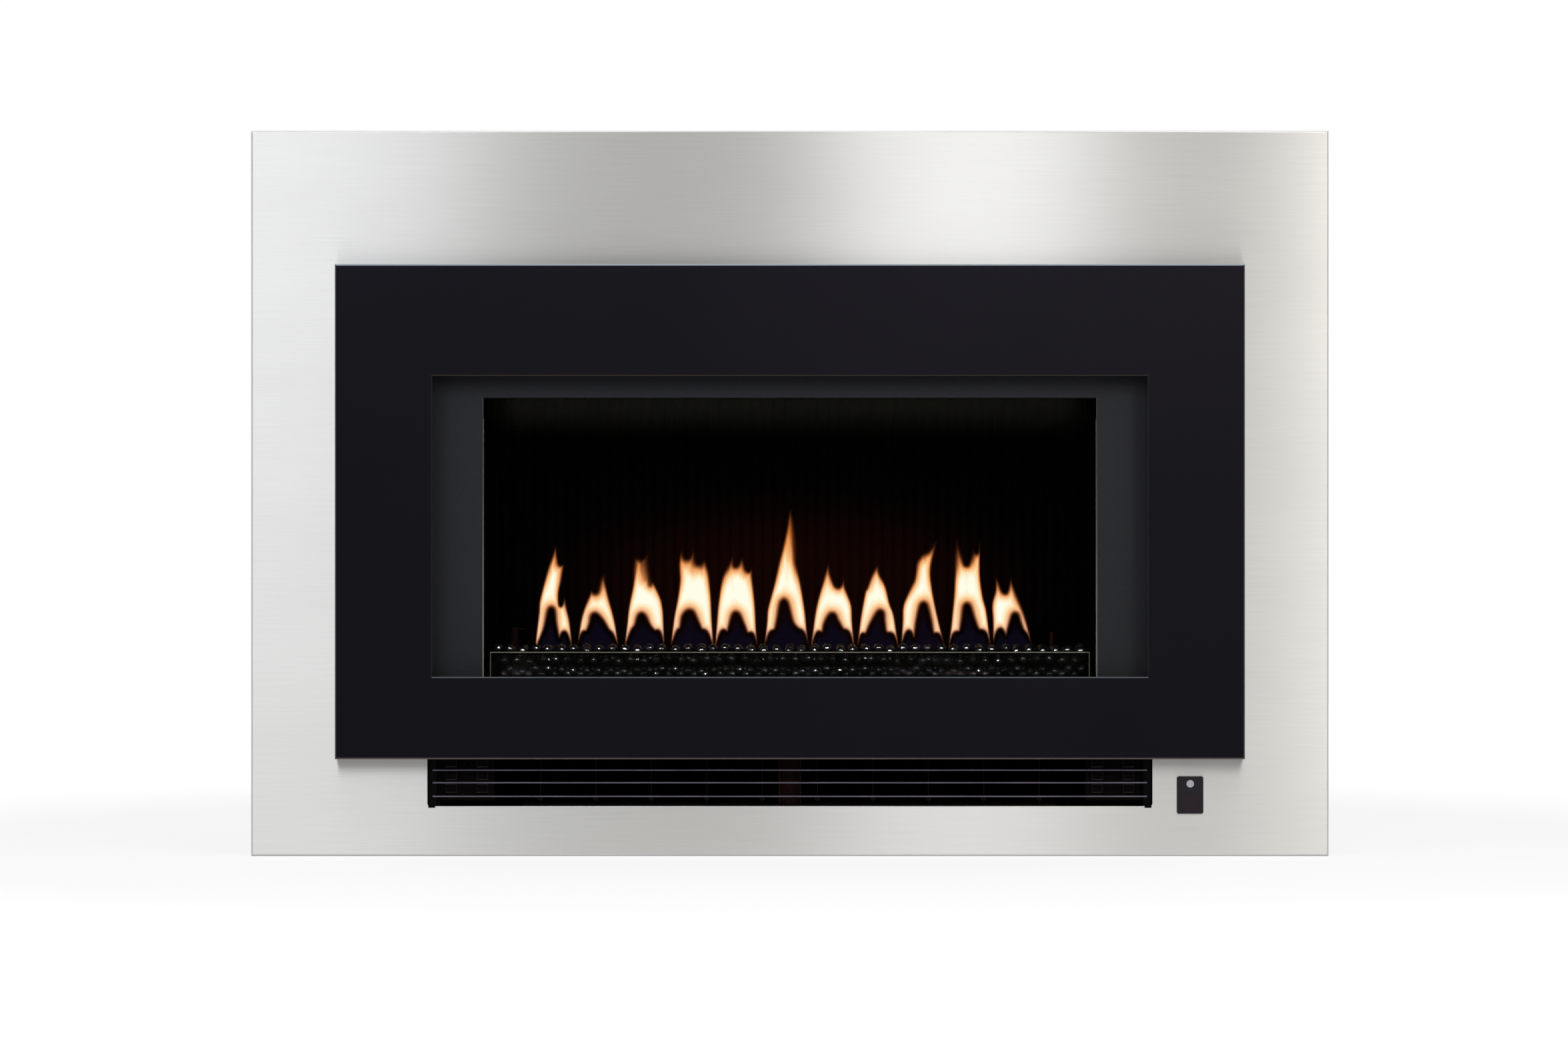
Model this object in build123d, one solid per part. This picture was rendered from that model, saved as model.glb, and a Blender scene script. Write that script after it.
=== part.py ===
from build123d import *

import os
from math import cos, radians, sin

# Inbuilt gas fire with a four-sided steel surround, in millimetres. +Z is up, the front faces -Y and
# +X is to the right of somebody who looks at it. The origin is on the floor, in the middle of the
# width and of the overall depth, flue spigot included.

# ---------------------------------------------------------------- surround (fascia)
fascia_width = 1100.0
fascia_height = 741.0
fascia_sheet = 1.2
fascia_return = 20.0  # depth of the folded edge, from the front face to the wall
fascia_flange = 12.0  # inward fold that lies on the wall
fascia_corner = 2.0  # outside radius of the folded edge
fascia_floor_gap = 0.5  # the surround just clears the hearth
fascia_hole_width = 880.0
fascia_hole_bottom = 140.0
fascia_hole_top = 585.0

# ---------------------------------------------------------------- warm air outlet
slot_width = 740.0
slot_bottom = 51.4
slot_top = 114.0
slot_corner = 3.0
slot_notch_width = 8.0
slot_notch_depth = 1.7
slot_lip = 0.7  # slanted lip along the slot's lower edge, between the notches
wire_radius = 1.0
wire_heights = (61.2, 75.2, 88.1)
wire_end_gap = 3.5  # from each end of a wire to the end of the slot
wire_set_back = 3.5  # wire axis behind the surround's front face
strap_sheet = 1.5
strap_show = 9.0  # width of each end strap that shows in the slot
strap_lap = 6.0  # lap of each end strap behind the mounting frame

# ---------------------------------------------------------------- lift-off front door
door_width = 925.0
door_height = 503.6
door_bottom = 100.2
door_depth = 20.0
door_sheet = 2.0
door_corner = 3.0
door_air_gap = 2.0  # between the door's rear edge and the surround
window_width = 727.0
window_height = 306.1
window_bottom = 184.0
window_arris = 0.9  # slant round the front edge of the window cut in the door
stud_radius = 4.0
stud_flange_radius = 9.0
stud_flange = 1.5
stud_fit = 0.08
stud_end_gap = 1.0
stud_x = 430.0
stud_heights = (162.0, 560.0)
catch_radius = 7.0
catch_length = 11.0

# ---------------------------------------------------------------- casing
casing_width = 900.0
casing_depth = 380.0  # from the wall face to the back of the casing
casing_sheet = 1.2
casing_bottom = 14.0
casing_height = 665.0
casing_fold = 15.0
frame_sheet = 1.5
frame_margin = 15.0  # lap of the mounting frame outside the casing
frame_hole_width = 836.0
frame_hole_bottom = 134.0
frame_hole_top = 590.0
frame_slot_gap = 2.0
foot_pad_radius = 16.0
foot_pad_height = 6.0
foot_stud_radius = 4.0
foot_stud_height = 32.0
foot_nut_radius = 7.5
foot_nut_height = 5.0
foot_inset = 45.0
anchor_radius = 4.5  # four holes in the base for floor anchors
anchor_spacing_x = 760.0
anchor_spacing_y = 240.0
frame_screw_rows = 4  # screws on each side of the mounting frame
hole_gap = 0.3  # clearance round a piece that passes a sheet
past = 1.0  # how far a cut runs past the face that it opens
lap = 1.0  # how far a joined boss runs into its body

# ---------------------------------------------------------------- firebox and window
window_set_back = 34.0  # window frame behind the door's face
window_frame_sheet = 2.0
window_frame_width = 800.0
window_frame_bottom = 132.0
window_frame_top = 540.0
pane_open_width = 627.0
pane_open_bottom = 165.0
pane_open_top = 468.3
pane_arris = 0.9  # slant round the front edge of the window frame's opening
pane_lap = 11.5
pane_thickness = 4.0
gasket_width = 6.0
gasket_thickness = 5.0
firebox_sheet = 1.5
chamber_width = 634.0
chamber_floor = 150.0
chamber_top = 520.0
chamber_depth = 218.0  # from the firebox front to the face of the rear liner
floor_plate_width = 800.0
front_plate_bottom = 130.0
front_plate_top = 560.0
intake_width = 28.0
intake_bottom = 180.0
intake_top = 520.0
leg_radius = 7.0
leg_x = 378.0
leg_inset = 13.0
liner_sheet = 3.0
liner_top = 447.0
liner_trim = 2.0
liner_gap = 0.3
rib_pitch = 11.7
rib_height = 3.0
rear_liner_sheet = 4.0
fin_count = 21
fin_sheet = 2.0
fin_depth = 25.0
fin_pitch = 26.0
fin_bottom = 175.0
fin_top = 500.0
screw_head_radius = 4.5
screw_head_height = 2.4
screw_shank_radius = 2.0
screw_end = 1.0  # shank past the last sheet
window_screw_inset = 9.0

# ---------------------------------------------------------------- burner bed
burner_x = -7.0
burner_set_back = 68.0  # burner axis behind the firebox front
burner_length = 524.0
burner_width = 36.0
burner_bottom = 156.0
burner_top = 190.0
burner_sheet = 1.5
burner_foot_length = 30.0
port_count = 11
port_pitch = 47.5
port_length = 34.0
port_width = 4.6
tray_width = 619.0
tray_sheet = 1.5
tray_floor = 177.5
tray_wall_top = 194.0
tray_front_gap = 6.5
tray_depth = 136.0
fence_channel = 15.0
fence_width = 616.0
fence_thickness = 4.0
fence_top = 208.0
fence_arris = 0.8
pebble_radius = 6.8
pebble_gap = 0.25
pebble_heap_step = 3  # every third pebble of the front row carries one more
injector_x = -60.0
injector_radius = 8.0
injector_block = 20.0
injector_pipe_height = 134.0
injector_rise = 4.0
electrode_gap = 17.0  # from each end of the burner to its electrode
electrode_radius = 4.0
electrode_top = 232.0
electrode_wire_radius = 0.8
electrode_wire_reach = 12.0
sensor_radius = 3.0
sensor_top = 227.0
ceramic_base_height = 8.0
ceramic_base_radius = 6.5

# ---------------------------------------------------------------- gas train
gas_x = -395.0
gas_height = 60.0
gas_pipe_radius = 5.0
gas_pipe_bend = 18.0
gas_thread_radius = 10.48  # half-inch parallel pipe thread
gas_thread_length = 15.0
gas_neck_step = 1.0  # the neck through the casing's back is that much slimmer
gas_hex_radius = 14.0
gas_hex_length = 10.0
valve_width = 60.0
valve_length = 90.0
valve_height = 50.0
valve_front_set_back = 103.0
valve_foot = 3.0
solenoid_radius = 14.0
solenoid_height = 34.0
solenoid_steps = (0.28, 0.72)  # parts of the valve's length

# ---------------------------------------------------------------- warm air duct and blower
duct_sheet = 1.2
duct_floor_rise = 4.0
duct_top_clear = 2.0
vane_count = 5  # on each side of the centre bracket
vane_pitch = 56.8
vane_first_x = 28.3
vane_sheet = 1.0
vane_depth = 55.0
vane_set_back = 18.0
vane_gap = 0.2
vane_lug_radius = 3.0
vane_lug_length = 4.0
bracket_width = 23.0
bracket_sheet = 1.5
bracket_depth = 12.0
bracket_set_back = 9.0
end_block_width = 60.0
end_block_sheet = 1.5
end_block_depth = 70.0
end_block_set_back = 12.0
boss_width = 12.0
boss_height = 9.0
boss_depth = 3.0
boss_arris = 0.8
boss_columns = (12.0, 44.0)
boss_rows = (69.0, 82.0, 95.0)
ring_boss_radius = 4.5
ring_boss_hole = 2.2
ring_boss_x = 27.0
ring_boss_height = 94.0
rotor_radius = 31.0
rotor_length = 540.0
rotor_height = 93.0
rotor_set_back = 197.0  # rotor axis behind the front of the casing
rotor_blades = 24
rotor_blade_depth = 7.0
rotor_blade_sheet = 1.0
rotor_blade_twist = 28.0
rotor_discs = 4
rotor_disc_sheet = 1.5
rotor_disc_gap = 0.02  # between the inner discs and the blades' inner edges
scroll_clearance = 7.0
scroll_start = -100.0
scroll_end = 70.0
blower_end_gap = 3.0
blower_end_depth = 90.0
blower_end_top = 134.0
shaft_radius = 4.0
shaft_fit = 0.05
shaft_hole_gap = 1.2  # round the shaft in the end plates
bearing_radius = 10.0
bearing_length = 10.0
motor_radius = 34.0
motor_length = 66.0
motor_corner = 4.0

# ---------------------------------------------------------------- flue
flue_fan_set_back = 175.0  # fan axis behind the firebox front plate
collector_width = 260.0
collector_depth = 140.0
collector_height = 38.0
fan_inlet_radius = 32.0
volute_radius = 78.0
volute_height = 54.0
volute_sheet = 1.5
outlet_width = 54.0
outlet_reach = 100.0
impeller_radius = 62.0
impeller_height = 30.0
impeller_blades = 14
impeller_blade_sheet = 1.5
impeller_hub_radius = 11.0
impeller_floor_gap = 8.0
fan_motor_radius = 34.0
fan_motor_height = 45.0
fan_shaft_hole = 7.0
spigot_radius = 25.0
spigot_wall = 1.5
spigot_reach = 35.0  # beyond the back of the casing
spigot_flange = 2.0
spigot_neck_step = 1.0  # the neck inside the casing is that much slimmer
spigot_collar_radius = 31.0
spigot_collar = 2.0

# ---------------------------------------------------------------- electrics
board_length = 150.0
board_height = 100.0
board_sheet = 1.6
board_bottom = 200.0
board_set_back = 95.0
board_stand_off = 10.0
board_parts = (  # height over the board, then stretches along and up it, as parts of its size
    (30.0, (0.06, 0.34), (0.10, 0.60)),  # transformer
    (18.0, (0.40, 0.54), (0.12, 0.32)),  # relay
    (18.0, (0.58, 0.72), (0.12, 0.32)),  # relay
    (10.0, (0.44, 0.66), (0.50, 0.70)),  # controller
    (14.0, (0.80, 0.94), (0.15, 0.85)),  # terminal strip
)
capacitor_radius = 7.5
capacitor_height = 22.0
capacitor_steps = (0.12, 0.26)  # parts of the board's length
capacitor_level = 0.8  # part of the board's height
cover_margin = 12.0
cover_depth = 60.0
cover_sheet = 1.0
gland_x = 395.0
gland_height = 60.0
gland_radius = 9.0
gland_bore = 4.0
gland_reach = 18.0
gland_nut_radius = 12.0
gland_nut = 5.0
pad_x = 408.3
pad_height = 62.9
pad_size_x = 27.0
pad_size_z = 38.0
pad_corner = 2.0
pad_proud = 2.0
pad_body_inset = 2.5
pad_body_depth = 10.0
pad_edge = 0.6
button_radius = 3.85
button_fit = 0.1
button_z = 74.4
button_proud = 1.2
button_thickness = 4.0
button_travel = 1.0
button_spare = 0.4
ir_size = 17.5
ir_z = 54.1
ir_depth = 0.8
ir_gap = 0.1

# ---------------------------------------------------------------- planes, from the front to the back
overall_depth = door_depth + door_air_gap + fascia_return + casing_depth + spigot_reach
front_y = -overall_depth / 2
fascia_y = front_y + door_depth + door_air_gap
wall_y = fascia_y + fascia_return
casing_back_y = wall_y + casing_depth
frame_y = fascia_y + fascia_sheet
casing_y = frame_y + frame_sheet
window_y = front_y + window_set_back
pane_y = window_y + window_frame_sheet
gasket_y = pane_y + pane_thickness
firebox_y = gasket_y + gasket_thickness
chamber_y = firebox_y + firebox_sheet
liner_y = chamber_y + chamber_depth
firebox_back_y = liner_y + rib_height + rear_liner_sheet + liner_gap
burner_y = chamber_y + burner_set_back
rotor_y = casing_y + rotor_set_back
fan_y = firebox_y + flue_fan_set_back

# ---------------------------------------------------------------- half widths and heights that recur
half_fascia = fascia_width / 2
half_slot = slot_width / 2
half_door = door_width / 2
half_casing = casing_width / 2
half_inside = half_casing - casing_sheet
half_chamber = chamber_width / 2
half_pane_open = pane_open_width / 2
half_tray = tray_width / 2
casing_top_z = casing_bottom + casing_height
base_top = casing_bottom + casing_sheet
side_top = casing_top_z - casing_sheet
duct_floor_front = slot_bottom + duct_sheet
duct_top_z = slot_top + duct_top_clear


def block(x, y, z):
    """A box given by its low and high sides along each axis."""
    middle = [(low + high) / 2 for low, high in (x, y, z)]
    size = [high - low for low, high in (x, y, z)]
    return Pos(*middle) * Box(*size)


def rod_x(radius, x, y, z):
    """A round bar along X between the two ends in x."""
    return Pos((x[0] + x[1]) / 2, y, z) * Rot(0, 90, 0) * Cylinder(radius, x[1] - x[0])


def rod_y(radius, x, y, z):
    """A round bar along Y between the two ends in y."""
    return Pos(x, (y[0] + y[1]) / 2, z) * Rot(90, 0, 0) * Cylinder(radius, y[1] - y[0])


def rod_z(radius, x, y, z):
    """A round bar along Z between the two ends in z."""
    return Pos(x, y, (z[0] + z[1]) / 2) * Cylinder(radius, z[1] - z[0])


def hexagon_y(radius, x, y, z):
    """A hexagon bar along Y."""
    face = Plane(origin=(x, y[0], z), z_dir=(0, 1, 0)) * RegularPolygon(radius, 6)
    return extrude(face, y[1] - y[0])


def across(half):
    """The low and high sides of something centred on x = 0."""
    return (-half, half)


def mirrored(x, low, high):
    """The stretch low..high on the side of the middle that x (-1 or 1) names."""
    return (low, high) if x > 0 else (-high, -low)


def group(pieces):
    """Several separate solids that make one node."""
    return Compound(children=list(pieces))


def drilled(shape, tools):
    """A shape with every one of the tools cut out."""
    for tool in tools:
        shape = shape - tool
    return shape


def rounded_front(shape, radius, front):
    """Rounds the outer edges of the face that lies at y = front."""
    face = shape.faces().sort_by(Axis.Y)[0]
    assert abs(face.center().Y - front) < 1e-6
    return fillet(face.outer_wire().edges(), radius)


def eased(shape, size, x, y, z):
    """Slants off the edges that lie at y and have their middle in the rectangle x by z."""
    near = 1e-6
    edges = [
        edge
        for edge in shape.edges()
        if abs(edge.center().Y - y) < near
        and x[0] - near < edge.center().X < x[1] + near
        and z[0] - near < edge.center().Z < z[1] + near
    ]
    return chamfer(edges, size)


# ---------------------------------------------------------------- surround


def control_pad_hole(y, gap):
    """The cut for the control pad's body through a sheet."""
    half_x = pad_size_x / 2 - pad_body_inset + gap
    half_z = pad_size_z / 2 - pad_body_inset + gap
    return block(
        (pad_x - half_x, pad_x + half_x), y, (pad_height - half_z, pad_height + half_z)
    )


def fascia():
    """Folded surround: a face with two holes, four returns and an inward flange on the wall."""
    low, high = fascia_floor_gap, fascia_height
    shell = block(across(half_fascia), (fascia_y, wall_y), (low, high))
    shell = rounded_front(shell, fascia_corner, fascia_y)
    inner = half_fascia - fascia_sheet
    shell -= block(
        across(inner),
        (frame_y, wall_y - fascia_sheet),
        (low + fascia_sheet, high - fascia_sheet),
    )
    rim = half_fascia - fascia_flange
    behind = (wall_y - 2 * fascia_sheet, wall_y + past)
    shell -= block(across(rim), behind, (low + fascia_flange, high - fascia_flange))
    through = (fascia_y - past, frame_y + past)
    shell -= block(
        across(fascia_hole_width / 2), through, (fascia_hole_bottom, fascia_hole_top)
    )
    slot = block(across(half_slot), through, (slot_bottom, slot_top))
    slot = fillet(slot.edges().filter_by(Axis.Y).group_by(Axis.Z)[0], slot_corner)
    shell -= slot
    for side in (-1, 1):
        notch_x = mirrored(side, half_slot - slot_notch_width, half_slot - past)
        notch_z = (slot_bottom - slot_notch_depth, slot_bottom + slot_notch_width)
        shell -= block(notch_x, through, notch_z)
    shell = eased(shell, slot_lip, across(half_slot), fascia_y, (slot_bottom, slot_bottom))
    return shell - control_pad_hole(through, hole_gap)


# ---------------------------------------------------------------- lift-off front door


def door_panel():
    """Folded tray with the window cut in its face."""
    top = door_bottom + door_height
    back = front_y + door_depth
    tray = block(across(half_door), (front_y, back), (door_bottom, top))
    tray = rounded_front(tray, door_corner, front_y)
    inner = half_door - door_sheet
    tray -= block(
        across(inner),
        (front_y + door_sheet, back + past),
        (door_bottom + door_sheet, top - door_sheet),
    )
    window_x = across(window_width / 2)
    window_z = (window_bottom, window_bottom + window_height)
    tray -= block(window_x, (front_y - past, front_y + 2 * door_sheet), window_z)
    return eased(tray, window_arris, window_x, front_y, window_z)


def stud_places():
    """Where the door's four studs are, as x and z."""
    return [(side * stud_x, z) for side in (-1, 1) for z in stud_heights]


def door_studs():
    """Studs welded behind the door, one for each spring catch."""
    back = front_y + door_sheet
    studs = []
    for x, z in stud_places():
        stud = rod_y(stud_radius, x, (back, frame_y - stud_end_gap), z)
        studs.append(
            stud + rod_y(stud_flange_radius, x, (back, back + stud_flange), z)
        )
    return group(studs)


def door_catches():
    """Spring catch sockets on the mounting frame that the studs push into."""
    catches = []
    for x, z in stud_places():
        body = rod_y(catch_radius, x, (frame_y - catch_length, frame_y), z)
        bore = rod_y(
            stud_radius + stud_fit, x, (frame_y - catch_length - past, frame_y + past), z
        )
        catches.append(body - bore)
    return group(catches)


# ---------------------------------------------------------------- casing


def frame_screw_places():
    """Screws that hold the mounting frame to the casing's folds, as x and z."""
    x = half_inside - casing_fold / 2
    step = casing_height / frame_screw_rows
    heights = [base_top + step * (n + 1 / 2) for n in range(frame_screw_rows)]
    return [(side * x, z) for side in (-1, 1) for z in heights]


def mounting_frame():
    """Flat frame on the front of the casing; the surround lies on it."""
    outer = half_casing + frame_margin
    low = casing_bottom + casing_sheet
    y = (frame_y, casing_y)
    plate = block(across(outer), y, (low, casing_top_z + frame_margin / 2))
    cut = (frame_y - past, casing_y + past)
    plate -= block(
        across(frame_hole_width / 2), cut, (frame_hole_bottom, frame_hole_top)
    )
    slot_low = slot_bottom - slot_notch_depth - frame_slot_gap
    plate -= block(across(half_slot + frame_slot_gap), cut, (slot_low, slot_top))
    plate -= control_pad_hole(cut, hole_gap + frame_sheet)
    shanks = [
        rod_y(screw_shank_radius + hole_gap, x, cut, z) for x, z in frame_screw_places()
    ]
    return drilled(plate, shanks)


def anchor_places():
    """Middle of the casing base's four anchor holes, as x and y."""
    middle = (casing_y + casing_back_y) / 2
    return [
        (x * anchor_spacing_x / 2, middle + y * anchor_spacing_y / 2)
        for x in (-1, 1)
        for y in (-1, 1)
    ]


def foot_places():
    """The four levelling feet, as x and y."""
    x = half_casing - foot_inset
    ends = (casing_y + foot_inset, casing_back_y - foot_inset)
    return [(side * x, y) for side in (-1, 1) for y in ends]


def casing_base():
    """Base sheet with an upturned front fold, foot holes and anchor holes."""
    sheet = block(
        across(half_casing), (casing_y, casing_back_y), (casing_bottom, base_top)
    )
    fold_x = across(half_inside - casing_fold - hole_gap)
    sheet += block(fold_x, (casing_y, casing_y + casing_sheet), (base_top, base_top + casing_fold))
    through = (casing_bottom - past, base_top + past)
    holes = [rod_z(anchor_radius, x, y, through) for x, y in anchor_places()]
    holes += [
        rod_z(foot_stud_radius + hole_gap, x, y, through) for x, y in foot_places()
    ]
    return drilled(sheet, holes)


def casing_side(side):
    """Side sheet with an inward front fold."""
    z = (base_top, side_top)
    wall = block(
        mirrored(side, half_inside, half_casing), (casing_y, casing_back_y), z
    )
    fold_x = mirrored(side, half_inside - casing_fold, half_inside)
    wall += block(fold_x, (casing_y, casing_y + casing_sheet), z)
    through = (casing_y - past, casing_y + casing_sheet + past)
    shanks = [
        rod_y(screw_shank_radius + hole_gap, x, through, z)
        for x, z in frame_screw_places()
        if x * side > 0
    ]
    return drilled(wall, shanks)


def casing_top():
    """Top sheet with a downturned front fold."""
    sheet = block(
        across(half_casing), (casing_y, casing_back_y), (side_top, casing_top_z)
    )
    fold_x = across(half_inside - casing_fold - hole_gap)
    return sheet + block(
        fold_x, (casing_y, casing_y + casing_sheet), (side_top - casing_fold, side_top)
    )


def casing_back():
    """Back sheet with holes for the flue, the gas inlet and the cable gland."""
    y = (casing_back_y - casing_sheet, casing_back_y)
    sheet = block(across(half_inside), y, (base_top, side_top))
    through = (y[0] - past, y[1] + past)
    return drilled(
        sheet,
        [
            rod_y(spigot_radius - spigot_neck_step + hole_gap, spigot_x, through, spigot_z),
            rod_y(gas_thread_radius - gas_neck_step + hole_gap, gas_x, through, gas_height),
            rod_y(gland_radius + hole_gap, gland_x, through, gland_height),
        ],
    )


def levelling_feet():
    """Four pads with a stud through the base and a nut under it."""
    feet = []
    for x, y in foot_places():
        foot = rod_z(foot_pad_radius, x, y, (0, foot_pad_height))
        foot += rod_z(foot_stud_radius, x, y, (foot_pad_height, foot_stud_height))
        nut = extrude(
            Pos(x, y, casing_bottom - foot_nut_height) * RegularPolygon(foot_nut_radius, 6),
            foot_nut_height,
        )
        feet.append(foot + nut)
    return group(feet)


def window_screw_places():
    """Screws that clamp the window frame to the firebox front, as x and z."""
    edge_x = window_frame_width / 2 - window_screw_inset
    low = window_frame_bottom + window_screw_inset
    high = window_frame_top - window_screw_inset
    sides = [(x, z) for x in (-edge_x, edge_x) for z in (low, (low + high) / 2, high)]
    return sides + [(x, z) for x in (-edge_x / 3, edge_x / 3) for z in (low, high)]


def screw(x, z, face, length):
    """A pan-head screw: its head lies on y = face and its shank runs to the back."""
    head = rod_y(screw_head_radius, x, (face - screw_head_height, face), z)
    head = fillet(head.edges().sort_by(Axis.Y)[0], screw_head_height / 2)
    return head + rod_y(screw_shank_radius, x, (face, face + length), z)


def front_screws():
    """All screws in the front of the casing, behind the surround and the door."""
    window_reach = firebox_y + firebox_sheet + screw_end - window_y
    frame_reach = casing_y + casing_sheet + screw_end - frame_y
    screws = [screw(x, z, window_y, window_reach) for x, z in window_screw_places()]
    for x, z in frame_screw_places():
        shank_y = (frame_y, frame_y + frame_reach)
        screws.append(rod_y(screw_shank_radius, x, shank_y, z))
    return group(screws)


# ---------------------------------------------------------------- firebox and window


def window_frame():
    """Flat charcoal frame that clamps the pane and its gasket to the firebox front."""
    cut = (window_y - past, pane_y + past)
    plate = block(
        across(window_frame_width / 2), (window_y, pane_y), (window_frame_bottom, window_frame_top)
    )
    opening_x = across(half_pane_open)
    opening_z = (pane_open_bottom, pane_open_top)
    plate -= block(opening_x, cut, opening_z)
    plate = eased(plate, pane_arris, opening_x, window_y, opening_z)
    shanks = [
        rod_y(screw_shank_radius + hole_gap, x, cut, z) for x, z in window_screw_places()
    ]
    return drilled(plate, shanks)


def pane_outline():
    """Half width, bottom and top of the pane."""
    return half_pane_open + pane_lap, pane_open_bottom - pane_lap, pane_open_top + pane_lap


def window_glass():
    """Ceramic glass pane behind the window frame."""
    half, low, high = pane_outline()
    return block(across(half), (pane_y, gasket_y), (low, high))


def glass_gasket():
    """Woven gasket between the pane and the firebox front."""
    half, low, high = pane_outline()
    ring = block(across(half), (gasket_y, firebox_y), (low, high))
    hole = block(
        across(half - gasket_width),
        (gasket_y - past, firebox_y + past),
        (low + gasket_width, high - gasket_width),
    )
    return ring - hole


def firebox_front():
    """Front plate across the casing, with the pane's opening and two air intakes."""
    cut = (firebox_y - past, chamber_y + past)
    plate = block(
        across(half_inside), (firebox_y, chamber_y), (front_plate_bottom, front_plate_top)
    )
    plate -= block(
        across(half_chamber), cut, (pane_open_bottom - past, pane_open_top + past)
    )
    for side in (-1, 1):
        middle = (half_inside + window_frame_width / 2) / 2
        intake = mirrored(side, middle - intake_width / 2, middle + intake_width / 2)
        plate -= block(intake, cut, (intake_bottom, intake_top))
    shanks = [
        rod_y(screw_shank_radius + hole_gap, x, cut, z) for x, z in window_screw_places()
    ]
    return drilled(plate, shanks)


def firebox_floor():
    """Floor plate of the chamber, on the legs, with the injector's hole."""
    plate = block(
        across(floor_plate_width / 2),
        (chamber_y, firebox_back_y + firebox_sheet),
        (chamber_floor - firebox_sheet, chamber_floor),
    )
    through = (chamber_floor - firebox_sheet - past, chamber_floor + past)
    return plate - rod_z(injector_radius + hole_gap, injector_x, burner_y, through)


def firebox_legs():
    """Four posts from the base to the firebox floor."""
    z = (base_top, chamber_floor - firebox_sheet)
    ends = (chamber_y + leg_inset, firebox_back_y - leg_inset)
    return group(rod_z(leg_radius, side * leg_x, y, z) for side in (-1, 1) for y in ends)


def firebox_side(side):
    """Side plate of the chamber."""
    x = mirrored(side, half_chamber, half_chamber + firebox_sheet)
    return block(x, (chamber_y, firebox_back_y), (chamber_floor, chamber_top))


def firebox_top():
    """Roof plate of the chamber with the way out to the flue."""
    half = half_chamber + firebox_sheet
    z = (chamber_top, chamber_top + firebox_sheet)
    plate = block(across(half), (chamber_y, firebox_back_y + firebox_sheet), z)
    way_out = block(
        across(collector_width / 2 - 2 * firebox_sheet),
        (fan_y - collector_depth / 2 + 2 * firebox_sheet, fan_y),
        (z[0] - past, z[1] + past),
    )
    return plate - way_out


def firebox_back():
    """Back plate of the chamber."""
    half = half_chamber + firebox_sheet
    y = (firebox_back_y, firebox_back_y + firebox_sheet)
    return block(across(half), y, (chamber_floor, chamber_top))


def rear_liner():
    """Cast panel with upright half-round flutes, in front of the back plate."""
    half = half_chamber - liner_sheet - liner_gap
    count = int(2 * half / rib_pitch)
    start = -count * rib_pitch / 2
    back = liner_y + rib_height + rear_liner_sheet
    base = liner_y + rib_height
    corners = [(start, base), (-half, base), (-half, back), (half, back), (half, base), (-start, base)]
    outline = [Polyline(*corners)]
    for n in range(count):
        left = start + n * rib_pitch
        crest = (left + rib_pitch / 2, liner_y)
        outline.append(ThreePointArc((left, base), crest, (left + rib_pitch, base)))
    section = make_face(Curve() + outline)
    return extrude(Pos(0, 0, chamber_floor) * section, chamber_top - chamber_floor - liner_gap)


def side_liner(side):
    """Dark glass panel on the inside of a side plate."""
    x = mirrored(side, half_chamber - liner_sheet, half_chamber)
    y = (chamber_y + liner_trim + liner_gap, liner_y + rib_height - liner_gap)
    return block(x, y, (chamber_floor, liner_top))


def liner_trims():
    """Bright strips that hold the front edges of the side liners."""
    y = (chamber_y, chamber_y + liner_trim)
    trims = []
    for side in (-1, 1):
        x = mirrored(side, half_chamber - liner_sheet - liner_gap, half_chamber)
        trims.append(block(x, y, (chamber_floor, liner_top)))
    return group(trims)


def heat_exchanger():
    """Back sheet on the chamber with upright fins welded to it, in the path of the room air."""
    y = firebox_back_y + firebox_sheet
    half = fin_pitch * (fin_count - 1) / 2 + fin_sheet
    pieces = [block(across(half), (y, y + fin_sheet), (fin_bottom, fin_top))]
    for n in range(fin_count):
        x = (n - (fin_count - 1) / 2) * fin_pitch
        fin_x = (x - fin_sheet / 2, x + fin_sheet / 2)
        pieces.append(block(fin_x, (y + fin_sheet, y + fin_depth), (fin_bottom, fin_top)))
    return group(pieces)


# ---------------------------------------------------------------- burner bed


def burner_ports():
    """Middle of each slot in the burner's top, along X."""
    return [burner_x + (n - (port_count - 1) / 2) * port_pitch for n in range(port_count)]


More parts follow.
